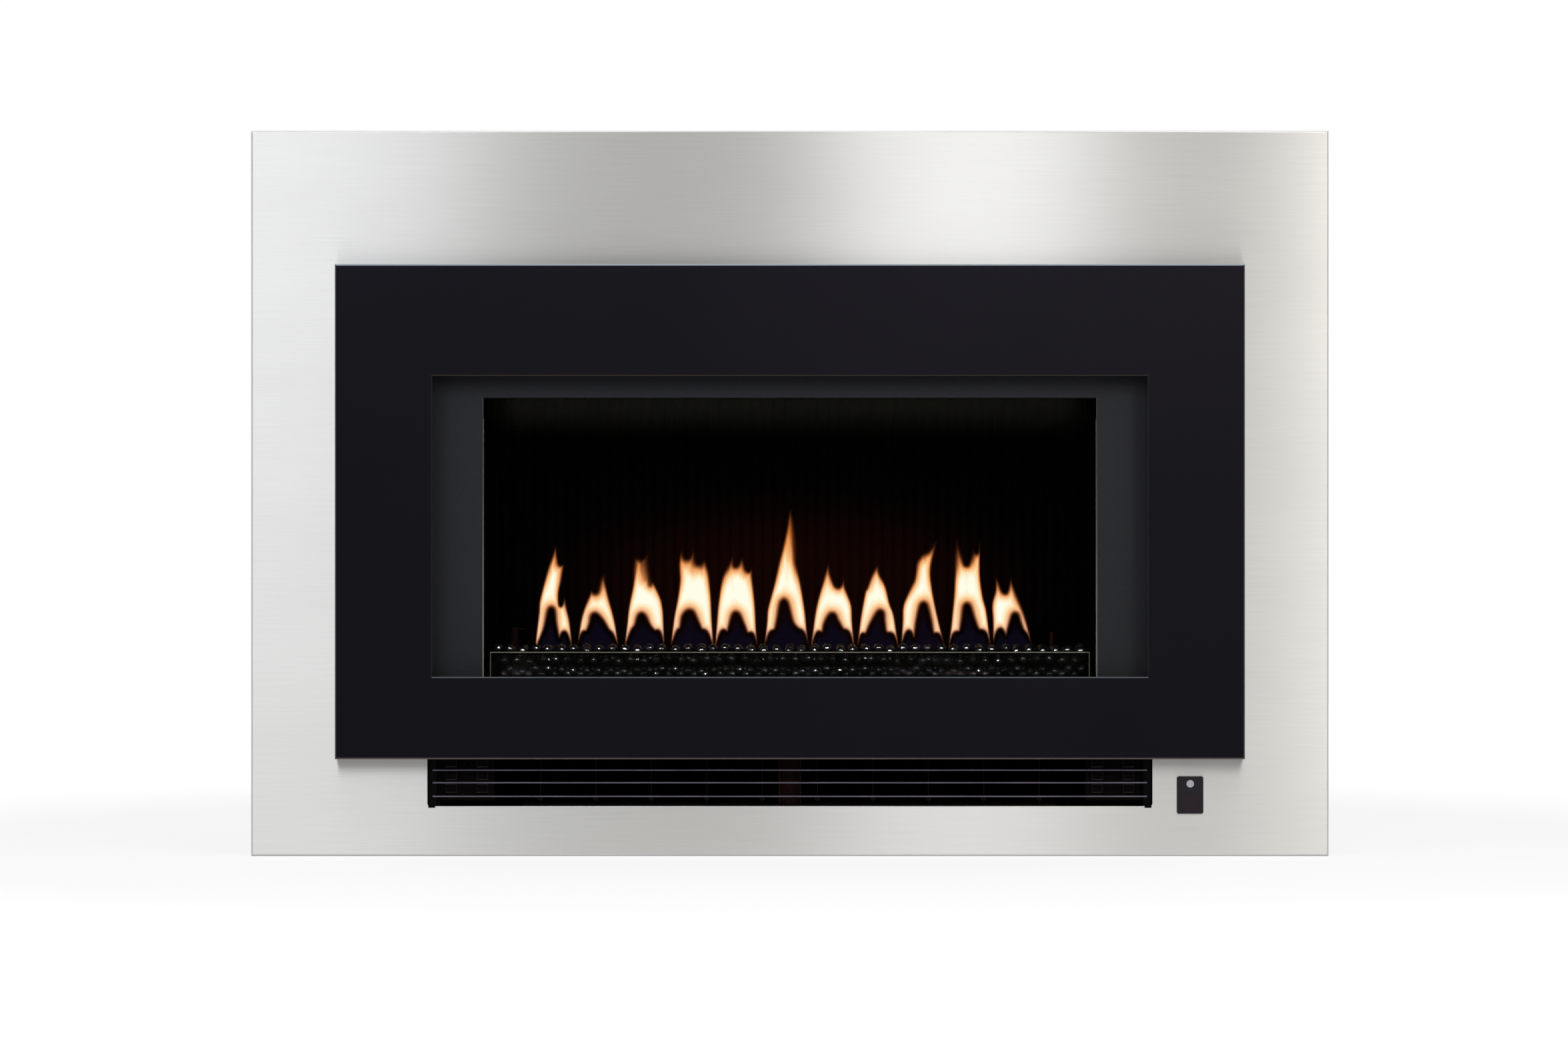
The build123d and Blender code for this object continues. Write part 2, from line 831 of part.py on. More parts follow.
def burner():
    """Box burner welded from strips: a long slot in its top for each flame, the injector's hole below."""
    wall = burner_sheet
    x = (burner_x - burner_length / 2, burner_x + burner_length / 2)
    y = (burner_y - burner_width / 2, burner_y + burner_width / 2)
    side_z = (burner_bottom + wall, burner_top - wall)
    inner_y = (y[0] + wall, y[1] - wall)
    strips = [block(x, side_y, side_z) for side_y in ((y[0], inner_y[0]), (inner_y[1], y[1]))]
    strips += [block(end_x, inner_y, side_z) for end_x in ((x[0], x[0] + wall), (x[1] - wall, x[1]))]

    top_z = (burner_top - wall, burner_top)
    port_y = (burner_y - port_width / 2, burner_y + port_width / 2)
    strips += [block(x, edge_y, top_z) for edge_y in ((y[0], port_y[0]), (port_y[1], y[1]))]
    starts = [x[0]] + [middle + port_length / 2 for middle in burner_ports()]
    ends = [middle - port_length / 2 for middle in burner_ports()] + [x[1]]
    strips += [block(bridge_x, port_y, top_z) for bridge_x in zip(starts, ends)]

    bottom_z = (burner_bottom, burner_bottom + wall)
    inlet = injector_radius + hole_gap
    inlet_x = (injector_x - inlet, injector_x + inlet)
    inlet_y = (burner_y - inlet, burner_y + inlet)
    strips += [block(end_x, y, bottom_z) for end_x in ((x[0], inlet_x[0]), (inlet_x[1], x[1]))]
    strips += [block(inlet_x, edge_y, bottom_z) for edge_y in ((y[0], inlet_y[0]), (inlet_y[1], y[1]))]

    for foot in (x[0], x[1] - burner_foot_length):
        strips.append(block((foot, foot + burner_foot_length), y, (chamber_floor, burner_bottom)))
    return group(strips)


def tray_planes():
    """Front face of the fence channel, of the tray's front wall, and the tray's back."""
    channel = chamber_y + tray_front_gap
    wall = channel + tray_sheet + fence_thickness + 2 * liner_gap
    return channel, wall, channel + tray_depth


def burner_tray():
    """Tray of the pebble bed: raised floor round the burner, four walls, fence channel in front."""
    channel, wall, back = tray_planes()
    x = across(half_tray)
    floor_z = (tray_floor - tray_sheet, tray_floor)
    tray = block(x, (wall, back), floor_z)
    front_z = (chamber_floor, tray_floor + tray_sheet)
    side_z = (chamber_floor, tray_wall_top)
    tray += block(x, (wall, wall + tray_sheet), front_z)
    tray += block(x, (back - tray_sheet, back), side_z)
    for side in (-1, 1):
        side_x = mirrored(side, half_tray - tray_sheet, half_tray)
        tray += block(side_x, (wall, back), side_z)
    tray += block(x, (channel, wall), (chamber_floor, chamber_floor + tray_sheet))
    tray += block(x, (channel, channel + tray_sheet), (chamber_floor, chamber_floor + fence_channel))
    half = burner_length / 2 + 2 * hole_gap
    burner_cut_y = burner_width / 2 + 2 * hole_gap
    return tray - block(
        (burner_x - half, burner_x + half),
        (burner_y - burner_cut_y, burner_y + burner_cut_y),
        (floor_z[0] - past, floor_z[1] + past),
    )


def glass_fence():
    """Clear glass strip in front of the pebbles, with polished arrises."""
    channel = tray_planes()[0]
    y = (channel + tray_sheet + liner_gap, channel + tray_sheet + liner_gap + fence_thickness)
    strip = block(across(fence_width / 2), y, (chamber_floor + tray_sheet, fence_top))
    edges = strip.edges().group_by(Axis.Z)[-1].filter_by(Axis.X)
    return chamfer(edges, fence_arris)


def electrode_places():
    """The spark electrode on the left and the flame sensor on the right, as x."""
    reach = burner_length / 2 + electrode_gap
    return burner_x - reach, burner_x + reach


def pebble_rows():
    """Each row of pebbles as y and the heights of its layers."""
    pitch = 2 * pebble_radius + pebble_gap
    wall = tray_planes()[1] + tray_sheet
    bed = tray_floor + pebble_gap + pebble_radius
    crown = burner_top + pebble_gap + pebble_radius
    first = wall + pebble_gap + pebble_radius
    rows = [(first, (bed, bed + pitch)), (first + pitch, (bed, bed + pitch))]
    rows += [(burner_y - pitch / 2, (crown,)), (burner_y + pitch / 2, (crown,))]
    behind = burner_y + burner_width / 2 + pebble_gap + pebble_radius
    return rows + [(behind, (bed, bed + pitch))]


def glass_pebbles():
    """Rounded black glass pebbles in rows and layers, heaped along the fence."""
    pitch = 2 * pebble_radius + pebble_gap
    reach = half_tray - tray_sheet - pebble_gap - pebble_radius
    count = int(2 * reach / pitch) + 1
    start = -(count - 1) * pitch / 2
    keep_clear = pebble_radius + ceramic_base_radius + pebble_gap
    places = []
    for y, layers in pebble_rows():
        for n in range(count):
            x = start + n * pitch
            crowded = any(
                abs(x - e) < keep_clear and abs(y - burner_y) < keep_clear
                for e in electrode_places()
            )
            over_burner = abs(x - burner_x) < burner_length / 2 - pebble_radius
            on_burner = len(layers) == 1
            if crowded or (on_burner and not over_burner):
                continue
            places += [(x, y, z) for z in layers]
    first = pebble_rows()[0]
    heap_z = first[1][-1] + pitch
    places += [(start + n * pitch, first[0], heap_z) for n in range(1, count - 1, pebble_heap_step)]
    return group(Pos(*place) * Sphere(pebble_radius) for place in places)


def ceramic_base(x):
    """Collar of a probe on the tray floor."""
    z = (tray_floor, tray_floor + ceramic_base_height)
    return rod_z(ceramic_base_radius, x, burner_y, z)


def spark_electrode():
    """Ceramic rod with its spark wire bent towards the first flame."""
    x = electrode_places()[0]
    wire_z = electrode_top - 2 * electrode_wire_radius
    rod = ceramic_base(x) + rod_z(electrode_radius, x, burner_y, (tray_floor, electrode_top))
    wire = rod_x(electrode_wire_radius, (x, x + electrode_wire_reach), burner_y, wire_z)
    return rod + wire


def flame_sensor():
    """Upright probe beside the last flame."""
    x = electrode_places()[1]
    rod = rod_z(sensor_radius, x, burner_y, (tray_floor, sensor_top))
    rod = fillet(rod.edges().sort_by(Axis.Z)[-1], sensor_radius / 2)
    return ceramic_base(x) + rod


# ---------------------------------------------------------------- gas train


def valve_box():
    """Low and high sides of the gas valve's body."""
    front = chamber_y + valve_front_set_back
    x = (gas_x - valve_width / 2, gas_x + valve_width / 2)
    z = (gas_height - valve_height / 2, gas_height + valve_height / 2)
    return x, (front, front + valve_length), z


def gas_valve():
    """Valve body on a foot, with two solenoids on top."""
    x, y, z = valve_box()
    body = block(x, y, z)
    body = fillet(body.edges().filter_by(Axis.Y), valve_foot)
    body += block(x, (y[0] + valve_foot, y[1] - valve_foot), (base_top, z[0] + valve_foot))
    for step in solenoid_steps:
        middle = y[0] + step * valve_length
        body += rod_z(solenoid_radius, gas_x, middle, (z[1] - lap, z[1] + solenoid_height))
    return body


def gas_supply_pipe():
    """Straight pipe from the inlet to the back of the valve."""
    y = (valve_box()[1][1], casing_back_y - casing_sheet - gas_hex_length)
    return rod_y(gas_pipe_radius, gas_x, y, gas_height)


def gas_inlet():
    """Hexagon fitting with a male pipe thread through the back of the casing."""
    inside = casing_back_y - casing_sheet
    nut = hexagon_y(gas_hex_radius, gas_x, (inside - gas_hex_length, inside), gas_height)
    neck = rod_y(gas_thread_radius - gas_neck_step, gas_x, (inside, casing_back_y), gas_height)
    thread_y = (casing_back_y, casing_back_y + gas_thread_length)
    return nut + neck + rod_y(gas_thread_radius, gas_x, thread_y, gas_height)


def burner_pipe():
    """Pipe from the valve, up beside the duct and across under the firebox to the injector."""
    start = valve_box()[1][0]
    end_x = injector_x - injector_block / 2
    points = [
        (gas_x, start, gas_height),
        (gas_x, burner_y, gas_height),
        (gas_x, burner_y, injector_pipe_height),
        (end_x, burner_y, injector_pipe_height),
    ]
    path = FilletPolyline(*points, radius=gas_pipe_bend)
    section = Plane(origin=points[0], z_dir=(0, -1, 0)) * Circle(gas_pipe_radius)
    return sweep(section, path=path)


def gas_injector():
    """Elbow block with the injector standing up through the firebox floor."""
    half = injector_block / 2
    x = (injector_x - half, injector_x + half)
    y = (burner_y - half, burner_y + half)
    z = (injector_pipe_height - half, injector_pipe_height + half)
    nozzle_z = (z[1] - lap, burner_bottom + injector_rise)
    return block(x, y, z) + rod_z(injector_radius, injector_x, burner_y, nozzle_z)


# ---------------------------------------------------------------- warm air duct


def scroll_start_y():
    """Where the blower's scroll takes over from the duct's floor."""
    return rotor_y + (rotor_radius + scroll_clearance + duct_sheet) * cos(radians(scroll_start))


def duct_floor_height(y):
    """Top of the duct's floor, which rises towards the back."""
    return duct_floor_front + duct_floor_rise * (y - casing_y) / (scroll_start_y() - casing_y)


def outlet_grille():
    """Three bright wires across the outlet, welded to a strap at each end."""
    axis_y = fascia_y + wire_set_back
    back = axis_y + wire_radius
    half = half_slot - wire_end_gap
    z = (slot_bottom - slot_notch_depth, slot_top - frame_slot_gap)
    pieces = [rod_x(wire_radius, across(half), axis_y, height) for height in wire_heights]
    for side in (-1, 1):
        outer = half_slot + frame_slot_gap + strap_lap
        show = mirrored(side, half_slot - strap_show, outer)
        lap_x = mirrored(side, half_slot + frame_slot_gap, outer)
        strap = block(show, (back, back + strap_sheet), z)
        pieces.append(strap + block(lap_x, (casing_y, back + strap_sheet), z))
    return group(pieces)


def plate_between(front, back, sheet, half):
    """A flat sheet across X from one (y, z) point of its upper face to another."""
    corners = [front, back, (back[0], back[1] - sheet), (front[0], front[1] - sheet)]
    section = Plane.YZ * make_face(Polyline(*corners, close=True))
    return extrude(section, half, both=True)


def duct_floor():
    """Sloping floor from the outlet to the blower's scroll."""
    front = grille_back_y() + hole_gap
    back = scroll_start_y() - hole_gap
    ends = [(y, duct_floor_height(y)) for y in (front, back)]
    return plate_between(*ends, duct_sheet, duct_half())


def grille_back_y():
    """Back of the grille's end straps."""
    return fascia_y + wire_set_back + wire_radius + strap_sheet


def duct_half():
    """Half the inside width of the duct."""
    return rotor_length / 2 + blower_end_gap


def duct_top():
    """Roof of the duct, from the outlet to the blower's end plates."""
    front = (grille_back_y() + hole_gap, duct_top_z)
    back = (rotor_y - blower_end_depth / 2, duct_top_z)
    return plate_between(front, back, duct_sheet, half_slot)


def guide_vane(x):
    """One upright vane with a rounded lug at its foot."""
    front = casing_y + vane_set_back
    back = front + vane_depth
    roof = duct_top_z - duct_sheet - vane_gap
    corners = [
        (front, duct_floor_height(front) + vane_gap),
        (back, duct_floor_height(back) + vane_gap),
        (back, roof),
        (front, roof),
    ]
    section = Plane.YZ * make_face(Polyline(*corners, close=True))
    vane = Pos(x, 0, 0) * extrude(section, vane_sheet / 2, both=True)
    lug_z = duct_floor_height(front) + 2 * vane_lug_radius
    lug = rod_y(vane_lug_radius, x, (front - vane_lug_length / 2, front + vane_lug_length / 2), lug_z)
    return vane + lug


def guide_vanes():
    """The duct's upright vanes, left and right of the centre bracket."""
    places = [vane_first_x + n * vane_pitch for n in range(vane_count)]
    return group(guide_vane(side * x) for side in (-1, 1) for x in places)


def outlet_bracket():
    """Channel that ties the duct's floor to its roof in the middle."""
    front = casing_y + bracket_set_back
    half = bracket_width / 2
    low = duct_floor_height(front + bracket_depth) + vane_gap
    z = (low, duct_top_z - duct_sheet - vane_gap)
    web = block(across(half), (front + bracket_depth - bracket_sheet, front + bracket_depth), z)
    for side in (-1, 1):
        x = mirrored(side, half - bracket_sheet, half)
        web += block(x, (front, front + bracket_depth), z)
    return web


def outlet_end(side):
    """End block of the duct: a front plate with bosses and an inner cheek."""
    inner = half_slot - strap_show + bracket_sheet - end_block_width
    front = casing_y + end_block_set_back
    z = (duct_floor_front + duct_floor_rise, duct_top_z - duct_sheet - vane_gap)
    sheet = end_block_sheet
    plate = block(mirrored(side, inner, inner + end_block_width), (front, front + sheet), z)
    cheek = mirrored(side, inner, inner + sheet)
    plate += block(cheek, (front, front + end_block_depth), z)
    boss_y = (front - boss_depth, front + sheet / 2)
    for column in boss_columns:
        for row in boss_rows:
            x = mirrored(side, inner + column - boss_width / 2, inner + column + boss_width / 2)
            boss_z = (row - boss_height / 2, row + boss_height / 2)
            plate += eased(block(x, boss_y, boss_z), boss_arris, x, boss_y[0], boss_z)
    middle = side * (inner + ring_boss_x)
    plate += rod_y(ring_boss_radius, middle, boss_y, ring_boss_height)
    return plate - rod_y(ring_boss_hole, middle, (boss_y[0] - past, front), ring_boss_height)


# ---------------------------------------------------------------- cross-flow blower


def blower_housing():
    """Scroll behind the rotor between two end plates that stand on the base."""
    inner = rotor_radius + scroll_clearance
    outer = inner + duct_sheet
    middle = Vector(rotor_y, rotor_height)

    def at(radius, angle):
        return middle + Vector(radius * cos(radians(angle)), radius * sin(radians(angle)))

    half_turn = (scroll_start + scroll_end) / 2
    section = make_face(
        Curve()
        + [
            ThreePointArc(at(inner, scroll_start), at(inner, half_turn), at(inner, scroll_end)),
            Line(at(inner, scroll_end), at(outer, scroll_end)),
            ThreePointArc(at(outer, scroll_end), at(outer, half_turn), at(outer, scroll_start)),
            Line(at(outer, scroll_start), at(inner, scroll_start)),
        ]
    )
    housing = extrude(Plane.YZ * section, duct_half() + duct_sheet / 2, both=True)
    shaft_hole = shaft_radius + shaft_hole_gap
    for side in (-1, 1):
        x = mirrored(side, duct_half(), duct_half() + duct_sheet)
        y = (rotor_y - blower_end_depth / 2, rotor_y + blower_end_depth / 2)
        plate = block(x, y, (base_top, blower_end_top))
        hole = rod_x(shaft_hole, (x[0] - past, x[1] + past), rotor_y, rotor_height)
        housing += plate - hole
    return housing


def blower_rotor():
    """Cross-flow rotor: slanted blades between two end discs, inner discs and a stub shaft at each end."""
    outer = duct_half() + duct_sheet
    stubs = [(-outer - bearing_length, -rotor_length / 2), (rotor_length / 2, outer + motor_length / 2)]
    shafts = [rod_x(shaft_radius, stub, rotor_y, rotor_height) for stub in stubs]
    middle = rotor_radius - rotor_blade_depth / 2 - rotor_blade_sheet
    tilt = radians(rotor_blade_twist)
    inward = middle - (rotor_blade_depth * cos(tilt) + rotor_blade_sheet * sin(tilt)) / 2
    spacing = (rotor_length - rotor_disc_sheet) / (rotor_discs - 1)
    discs = []
    for n in range(rotor_discs):
        x = -rotor_length / 2 + n * spacing
        at_end = n in (0, rotor_discs - 1)
        radius = rotor_radius if at_end else inward - rotor_disc_gap
        discs.append(rod_x(radius, (x, x + rotor_disc_sheet), rotor_y, rotor_height))
    blades = []
    for n in range(rotor_blades):
        blade = Box(rotor_length - 2 * rotor_disc_sheet, rotor_blade_depth, rotor_blade_sheet)
        blade = Pos(0, middle, 0) * Rot(rotor_blade_twist, 0, 0) * blade
        blades.append(Pos(0, rotor_y, rotor_height) * Rot(n * 360 / rotor_blades, 0, 0) * blade)
    return group([*shafts, *discs, *blades])


def blower_bearing():
    """Bush that carries the left end of the rotor's shaft."""
    x = (-duct_half() - duct_sheet - bearing_length, -duct_half() - duct_sheet)
    bore = rod_x(shaft_radius + shaft_fit, (x[0] - past, x[1] + past), rotor_y, rotor_height)
    return rod_x(bearing_radius, x, rotor_y, rotor_height) - bore


def blower_motor():
    """Motor on the right end plate."""
    x = (duct_half() + duct_sheet, duct_half() + duct_sheet + motor_length)
    body = rod_x(motor_radius, x, rotor_y, rotor_height)
    body = fillet(body.edges().filter_by(GeomType.CIRCLE).sort_by(Axis.X)[-1], motor_corner)
    bore_end = x[0] + motor_length / 2 + past
    return body - rod_x(shaft_radius + shaft_fit, (x[0] - past, bore_end), rotor_y, rotor_height)


# ---------------------------------------------------------------- flue

collector_bottom = chamber_top + firebox_sheet
volute_bottom = collector_bottom + collector_height
volute_top = volute_bottom + volute_height
spigot_x = volute_radius - outlet_width / 2
spigot_z = volute_bottom + volute_height / 2


def flue_collector():
    """Hollow box on the roof of the chamber that leads to the flue fan's inlet."""
    half = collector_width / 2
    y = (fan_y - collector_depth / 2, fan_y + collector_depth / 2)
    wall = firebox_sheet
    box = block(across(half), y, (collector_bottom, volute_bottom))
    box -= block(
        across(half - wall), (y[0] + wall, y[1] - wall), (collector_bottom - past, volute_bottom - wall)
    )
    return box - rod_z(fan_inlet_radius, 0, fan_y, (volute_bottom - 2 * wall, volute_bottom + past))


def flue_fan_housing():
    """Volute: a drum with a tangential outlet towards the back."""
    wall = volute_sheet
    z = (volute_bottom, volute_top)
    outlet_y = (fan_y, fan_y + outlet_reach)
    outlet_x = (volute_radius - outlet_width, volute_radius)
    shell = rod_z(volute_radius, 0, fan_y, z) + block(outlet_x, outlet_y, z)
    inner_z = (z[0] + wall, z[1] - wall)
    hollow = rod_z(volute_radius - wall, 0, fan_y, inner_z) + block(
        (outlet_x[0] + wall, outlet_x[1] - wall), (outlet_y[0], outlet_y[1] + past), inner_z
    )
    shell -= hollow
    shell -= rod_z(fan_inlet_radius, 0, fan_y, (z[0] - past, z[0] + 2 * wall))
    return shell - rod_z(fan_shaft_hole, 0, fan_y, (z[1] - 2 * wall, z[1] + past))


def flue_impeller():
    """Back plate with upright blades, hub and shaft."""
    low = volute_bottom + impeller_floor_gap
    high = low + impeller_height
    sheet = impeller_blade_sheet
    wheel = rod_z(impeller_radius, 0, fan_y, (high - sheet, high))
    wheel += rod_z(impeller_hub_radius, 0, fan_y, (low, high))
    wheel += rod_z(shaft_radius, 0, fan_y, (high, volute_top + fan_motor_height / 2))
    inner = fan_inlet_radius
    blades = []
    for n in range(impeller_blades):
        blade = block((inner, impeller_radius), across(sheet / 2), (low, high))
        blades.append(Pos(0, fan_y, 0) * Rot(0, 0, n * 360 / impeller_blades) * blade)
    return wheel + blades


def flue_fan_motor():
    """Motor on top of the volute."""
    z = (volute_top, volute_top + fan_motor_height)
    body = rod_z(fan_motor_radius, 0, fan_y, z)
    bore_z = (z[0] - past, z[0] + fan_motor_height / 2 + past)
    return body - rod_z(shaft_radius + shaft_fit, 0, fan_y, bore_z)


def flue_spigot():
    """Neck from the volute's outlet through the casing, a collar on its back and the spigot."""
    start = fan_y + outlet_reach
    end = casing_back_y + spigot_reach
    neck_radius = spigot_radius - spigot_neck_step
    flange = block(
        (volute_radius - outlet_width, volute_radius),
        (start, start + spigot_flange),
        (volute_bottom, volute_top),
    )
    neck = rod_y(neck_radius, spigot_x, (start, casing_back_y + spigot_collar), spigot_z)
    collar_y = (casing_back_y, casing_back_y + spigot_collar)
    collar = rod_y(spigot_collar_radius, spigot_x, collar_y, spigot_z)
    tube = rod_y(spigot_radius, spigot_x, (collar_y[1], end), spigot_z)
    bore = rod_y(neck_radius - spigot_wall, spigot_x, (start - past, end + past), spigot_z)
    return flange + neck + collar + tube - bore


# ---------------------------------------------------------------- electrics


def board_planes():
    """Low and high sides of the control board along X, Y and Z."""
    outer = half_inside - board_stand_off
    front = chamber_y + board_set_back
    x = (outer - board_sheet, outer)
    return x, (front, front + board_length), (board_bottom, board_bottom + board_height)


def control_board():
    """Circuit board on four posts, with its transformer, relays and capacitors."""
    x, y, z = board_planes()
    board = block(x, y, z)
    inset = cover_margin / 2
    for post_y in (y[0] + inset, y[1] - inset):
        for post_z in (z[0] + inset, z[1] - inset):
            board += rod_x(inset / 2, (x[1], half_inside), post_y, post_z)
    face = x[0]
    length, height = board_length, board_height
    for tall, along, up in board_parts:
        part_y = (y[0] + along[0] * length, y[0] + along[1] * length)
        part_z = (z[0] + up[0] * height, z[0] + up[1] * height)
        board += block((face - tall, face), part_y, part_z)
    for step in capacitor_steps:
        middle = y[0] + step * length
        level = z[0] + capacitor_level * height
        board += rod_x(capacitor_radius, (face - capacitor_height, face), middle, level)
    return board


def board_cover():
    """Box over the control board, open towards the casing's side."""
    y, z = board_planes()[1:]
    x = (half_inside - cover_depth, half_inside)
    y = (y[0] - cover_margin, y[1] + cover_margin)
    z = (z[0] - cover_margin, z[1] + cover_margin)
    wall = cover_sheet
    return block(x, y, z) - block(
        (x[0] + wall, x[1] + past), (y[0] + wall, y[1] - wall), (z[0] + wall, z[1] - wall)
    )


def cable_gland():
    """Gland for the supply cable in the back of the casing."""
    inside = casing_back_y - casing_sheet
    nut = hexagon_y(gland_nut_radius, gland_x, (inside - gland_nut, inside), gland_height)
    body = rod_y(gland_radius, gland_x, (inside, casing_back_y + gland_reach), gland_height)
    bore_y = (inside - gland_nut - past, casing_back_y + gland_reach + past)
    return nut + body - rod_y(gland_bore, gland_x, bore_y, gland_height)


def control_pad():
    """Control pad: rounded bezel on the surround, body behind it, wells for button and window."""
    face = fascia_y - pad_proud
    half_x = pad_size_x / 2
    half_z = pad_size_z / 2
    bezel = block(
        (pad_x - half_x, pad_x + half_x), (face, fascia_y), (pad_height - half_z, pad_height + half_z)
    )
    bezel = fillet(bezel.edges().filter_by(Axis.Y), pad_corner)
    bezel = chamfer(bezel.faces().sort_by(Axis.Y)[0].outer_wire().edges(), pad_edge)
    pad = bezel + control_pad_hole((fascia_y - past, fascia_y + pad_body_depth), 0)
    well_end = face - button_proud + button_thickness + button_travel + button_spare
    pad -= rod_y(button_radius + button_fit, pad_x, (face - past, well_end), button_z)
    half = ir_size / 2
    return pad - block(
        (pad_x - half, pad_x + half), (face - past, face + ir_depth), (ir_z - half, ir_z + half)
    )


def ir_window():
    """Dark window of the remote control receiver, let into the pad."""
    face = fascia_y - pad_proud
    half = ir_size / 2 - ir_gap
    return block(
        (pad_x - half, pad_x + half), (face + ir_gap, face + ir_depth), (ir_z - half, ir_z + half)
    )


def standby_button():
    """Round push button in its well."""
    front = fascia_y - pad_proud - button_proud
    cap = rod_y(button_radius, pad_x, (front, front + button_thickness), button_z)
    return fillet(cap.edges().filter_by(GeomType.CIRCLE).sort_by(Axis.Y)[0], button_proud / 3)


# ---------------------------------------------------------------- the assembly

NODES = {
    "fascia": fascia,
    "door_panel": door_panel,
    "door_studs": door_studs,
    "door_catches": door_catches,
    "mounting_frame": mounting_frame,
    "front_screws": front_screws,
    "casing_base": casing_base,
    "casing_left": lambda: casing_side(-1),
    "casing_right": lambda: casing_side(1),
    "casing_top": casing_top,
    "casing_back": casing_back,
    "levelling_feet": levelling_feet,
    "window_frame": window_frame,
    "window_glass": window_glass,
    "glass_gasket": glass_gasket,
    "firebox_front": firebox_front,
    "firebox_floor": firebox_floor,
    "firebox_legs": firebox_legs,
    "firebox_left": lambda: firebox_side(-1),
    "firebox_right": lambda: firebox_side(1),
    "firebox_top": firebox_top,
    "firebox_back": firebox_back,
    "rear_liner": rear_liner,
    "side_liner_left": lambda: side_liner(-1),
    "side_liner_right": lambda: side_liner(1),
    "liner_trims": liner_trims,
    "heat_exchanger": heat_exchanger,
    "burner": burner,
    "burner_tray": burner_tray,
    "glass_fence": glass_fence,
    "glass_pebbles": glass_pebbles,
    "spark_electrode": spark_electrode,
    "flame_sensor": flame_sensor,
    "gas_valve": gas_valve,
    "gas_supply_pipe": gas_supply_pipe,
    "gas_inlet": gas_inlet,
    "burner_pipe": burner_pipe,
    "gas_injector": gas_injector,
    "outlet_grille": outlet_grille,
    "duct_floor": duct_floor,
    "duct_top": duct_top,
    "guide_vanes": guide_vanes,
    "outlet_bracket": outlet_bracket,
    "outlet_end_left": lambda: outlet_end(-1),
    "outlet_end_right": lambda: outlet_end(1),
    "blower_housing": blower_housing,
    "blower_rotor": blower_rotor,
    "blower_bearing": blower_bearing,
    "blower_motor": blower_motor,
    "flue_collector": flue_collector,
    "flue_fan_housing": flue_fan_housing,
    "flue_impeller": flue_impeller,
    "flue_fan_motor": flue_fan_motor,
    "flue_spigot": flue_spigot,
    "control_board": control_board,
    "board_cover": board_cover,
    "cable_gland": cable_gland,
    "control_pad": control_pad,
    "ir_window": ir_window,
    "standby_button": standby_button,
}

os.makedirs("parts", exist_ok=True)
for name, build in NODES.items():
    export_step(build(), f"parts/{name}.step")
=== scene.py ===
"""Looks of an inbuilt gas fire with a four-sided steel surround, in metres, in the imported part's frame.

The front faces -Y and +X is to the right of somebody who looks at it. The solids keep their shapes and
get their finishes here; the glass pebbles and the flames are made here.
"""

import math

import bpy
import numpy as np
from bpy.props import FloatProperty, IntProperty, PointerProperty, StringProperty
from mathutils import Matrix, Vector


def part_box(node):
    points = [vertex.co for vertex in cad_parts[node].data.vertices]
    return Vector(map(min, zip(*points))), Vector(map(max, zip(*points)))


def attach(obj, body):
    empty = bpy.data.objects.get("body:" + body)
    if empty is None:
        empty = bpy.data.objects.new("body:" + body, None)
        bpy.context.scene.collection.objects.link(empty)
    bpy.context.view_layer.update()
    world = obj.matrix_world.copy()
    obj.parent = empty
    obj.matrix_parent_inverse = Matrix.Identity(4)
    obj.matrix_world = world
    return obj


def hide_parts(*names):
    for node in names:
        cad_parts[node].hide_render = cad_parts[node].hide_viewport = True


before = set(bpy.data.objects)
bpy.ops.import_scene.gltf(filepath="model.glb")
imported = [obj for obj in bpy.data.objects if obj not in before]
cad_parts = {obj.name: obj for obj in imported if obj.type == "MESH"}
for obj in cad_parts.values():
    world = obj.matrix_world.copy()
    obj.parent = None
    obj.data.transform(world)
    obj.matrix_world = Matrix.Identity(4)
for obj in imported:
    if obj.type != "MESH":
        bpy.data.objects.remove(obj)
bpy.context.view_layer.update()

bl_info = {
    "name": "Gas Fire Looks",
    "version": (1, 0, 0),
    "blender": (4, 5, 0),
    "location": "3D View > Sidebar > Gas Fire",
    "description": "Finishes, pebble bed, flames and studio for an inbuilt gas fire",
    "category": "Object",
}

MM = 0.001

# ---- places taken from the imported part

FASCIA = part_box("fascia")
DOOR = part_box("door_panel")
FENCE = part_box("glass_fence")
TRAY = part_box("burner_tray")
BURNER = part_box("burner")
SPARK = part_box("spark_electrode")
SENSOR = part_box("flame_sensor")
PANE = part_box("window_glass")
CASING_MIDDLE = (0, 0, (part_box("casing_base")[0].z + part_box("casing_top")[1].z) / 2)
BURNER_Y = (BURNER[0].y + BURNER[1].y) / 2
WIRE_LEVELS = (61.2 * MM, 75.2 * MM, 88.1 * MM)  # heights of the outlet's three wires
WIRE_END = 364.6 * MM  # from here outwards they are blackened, as their straps are

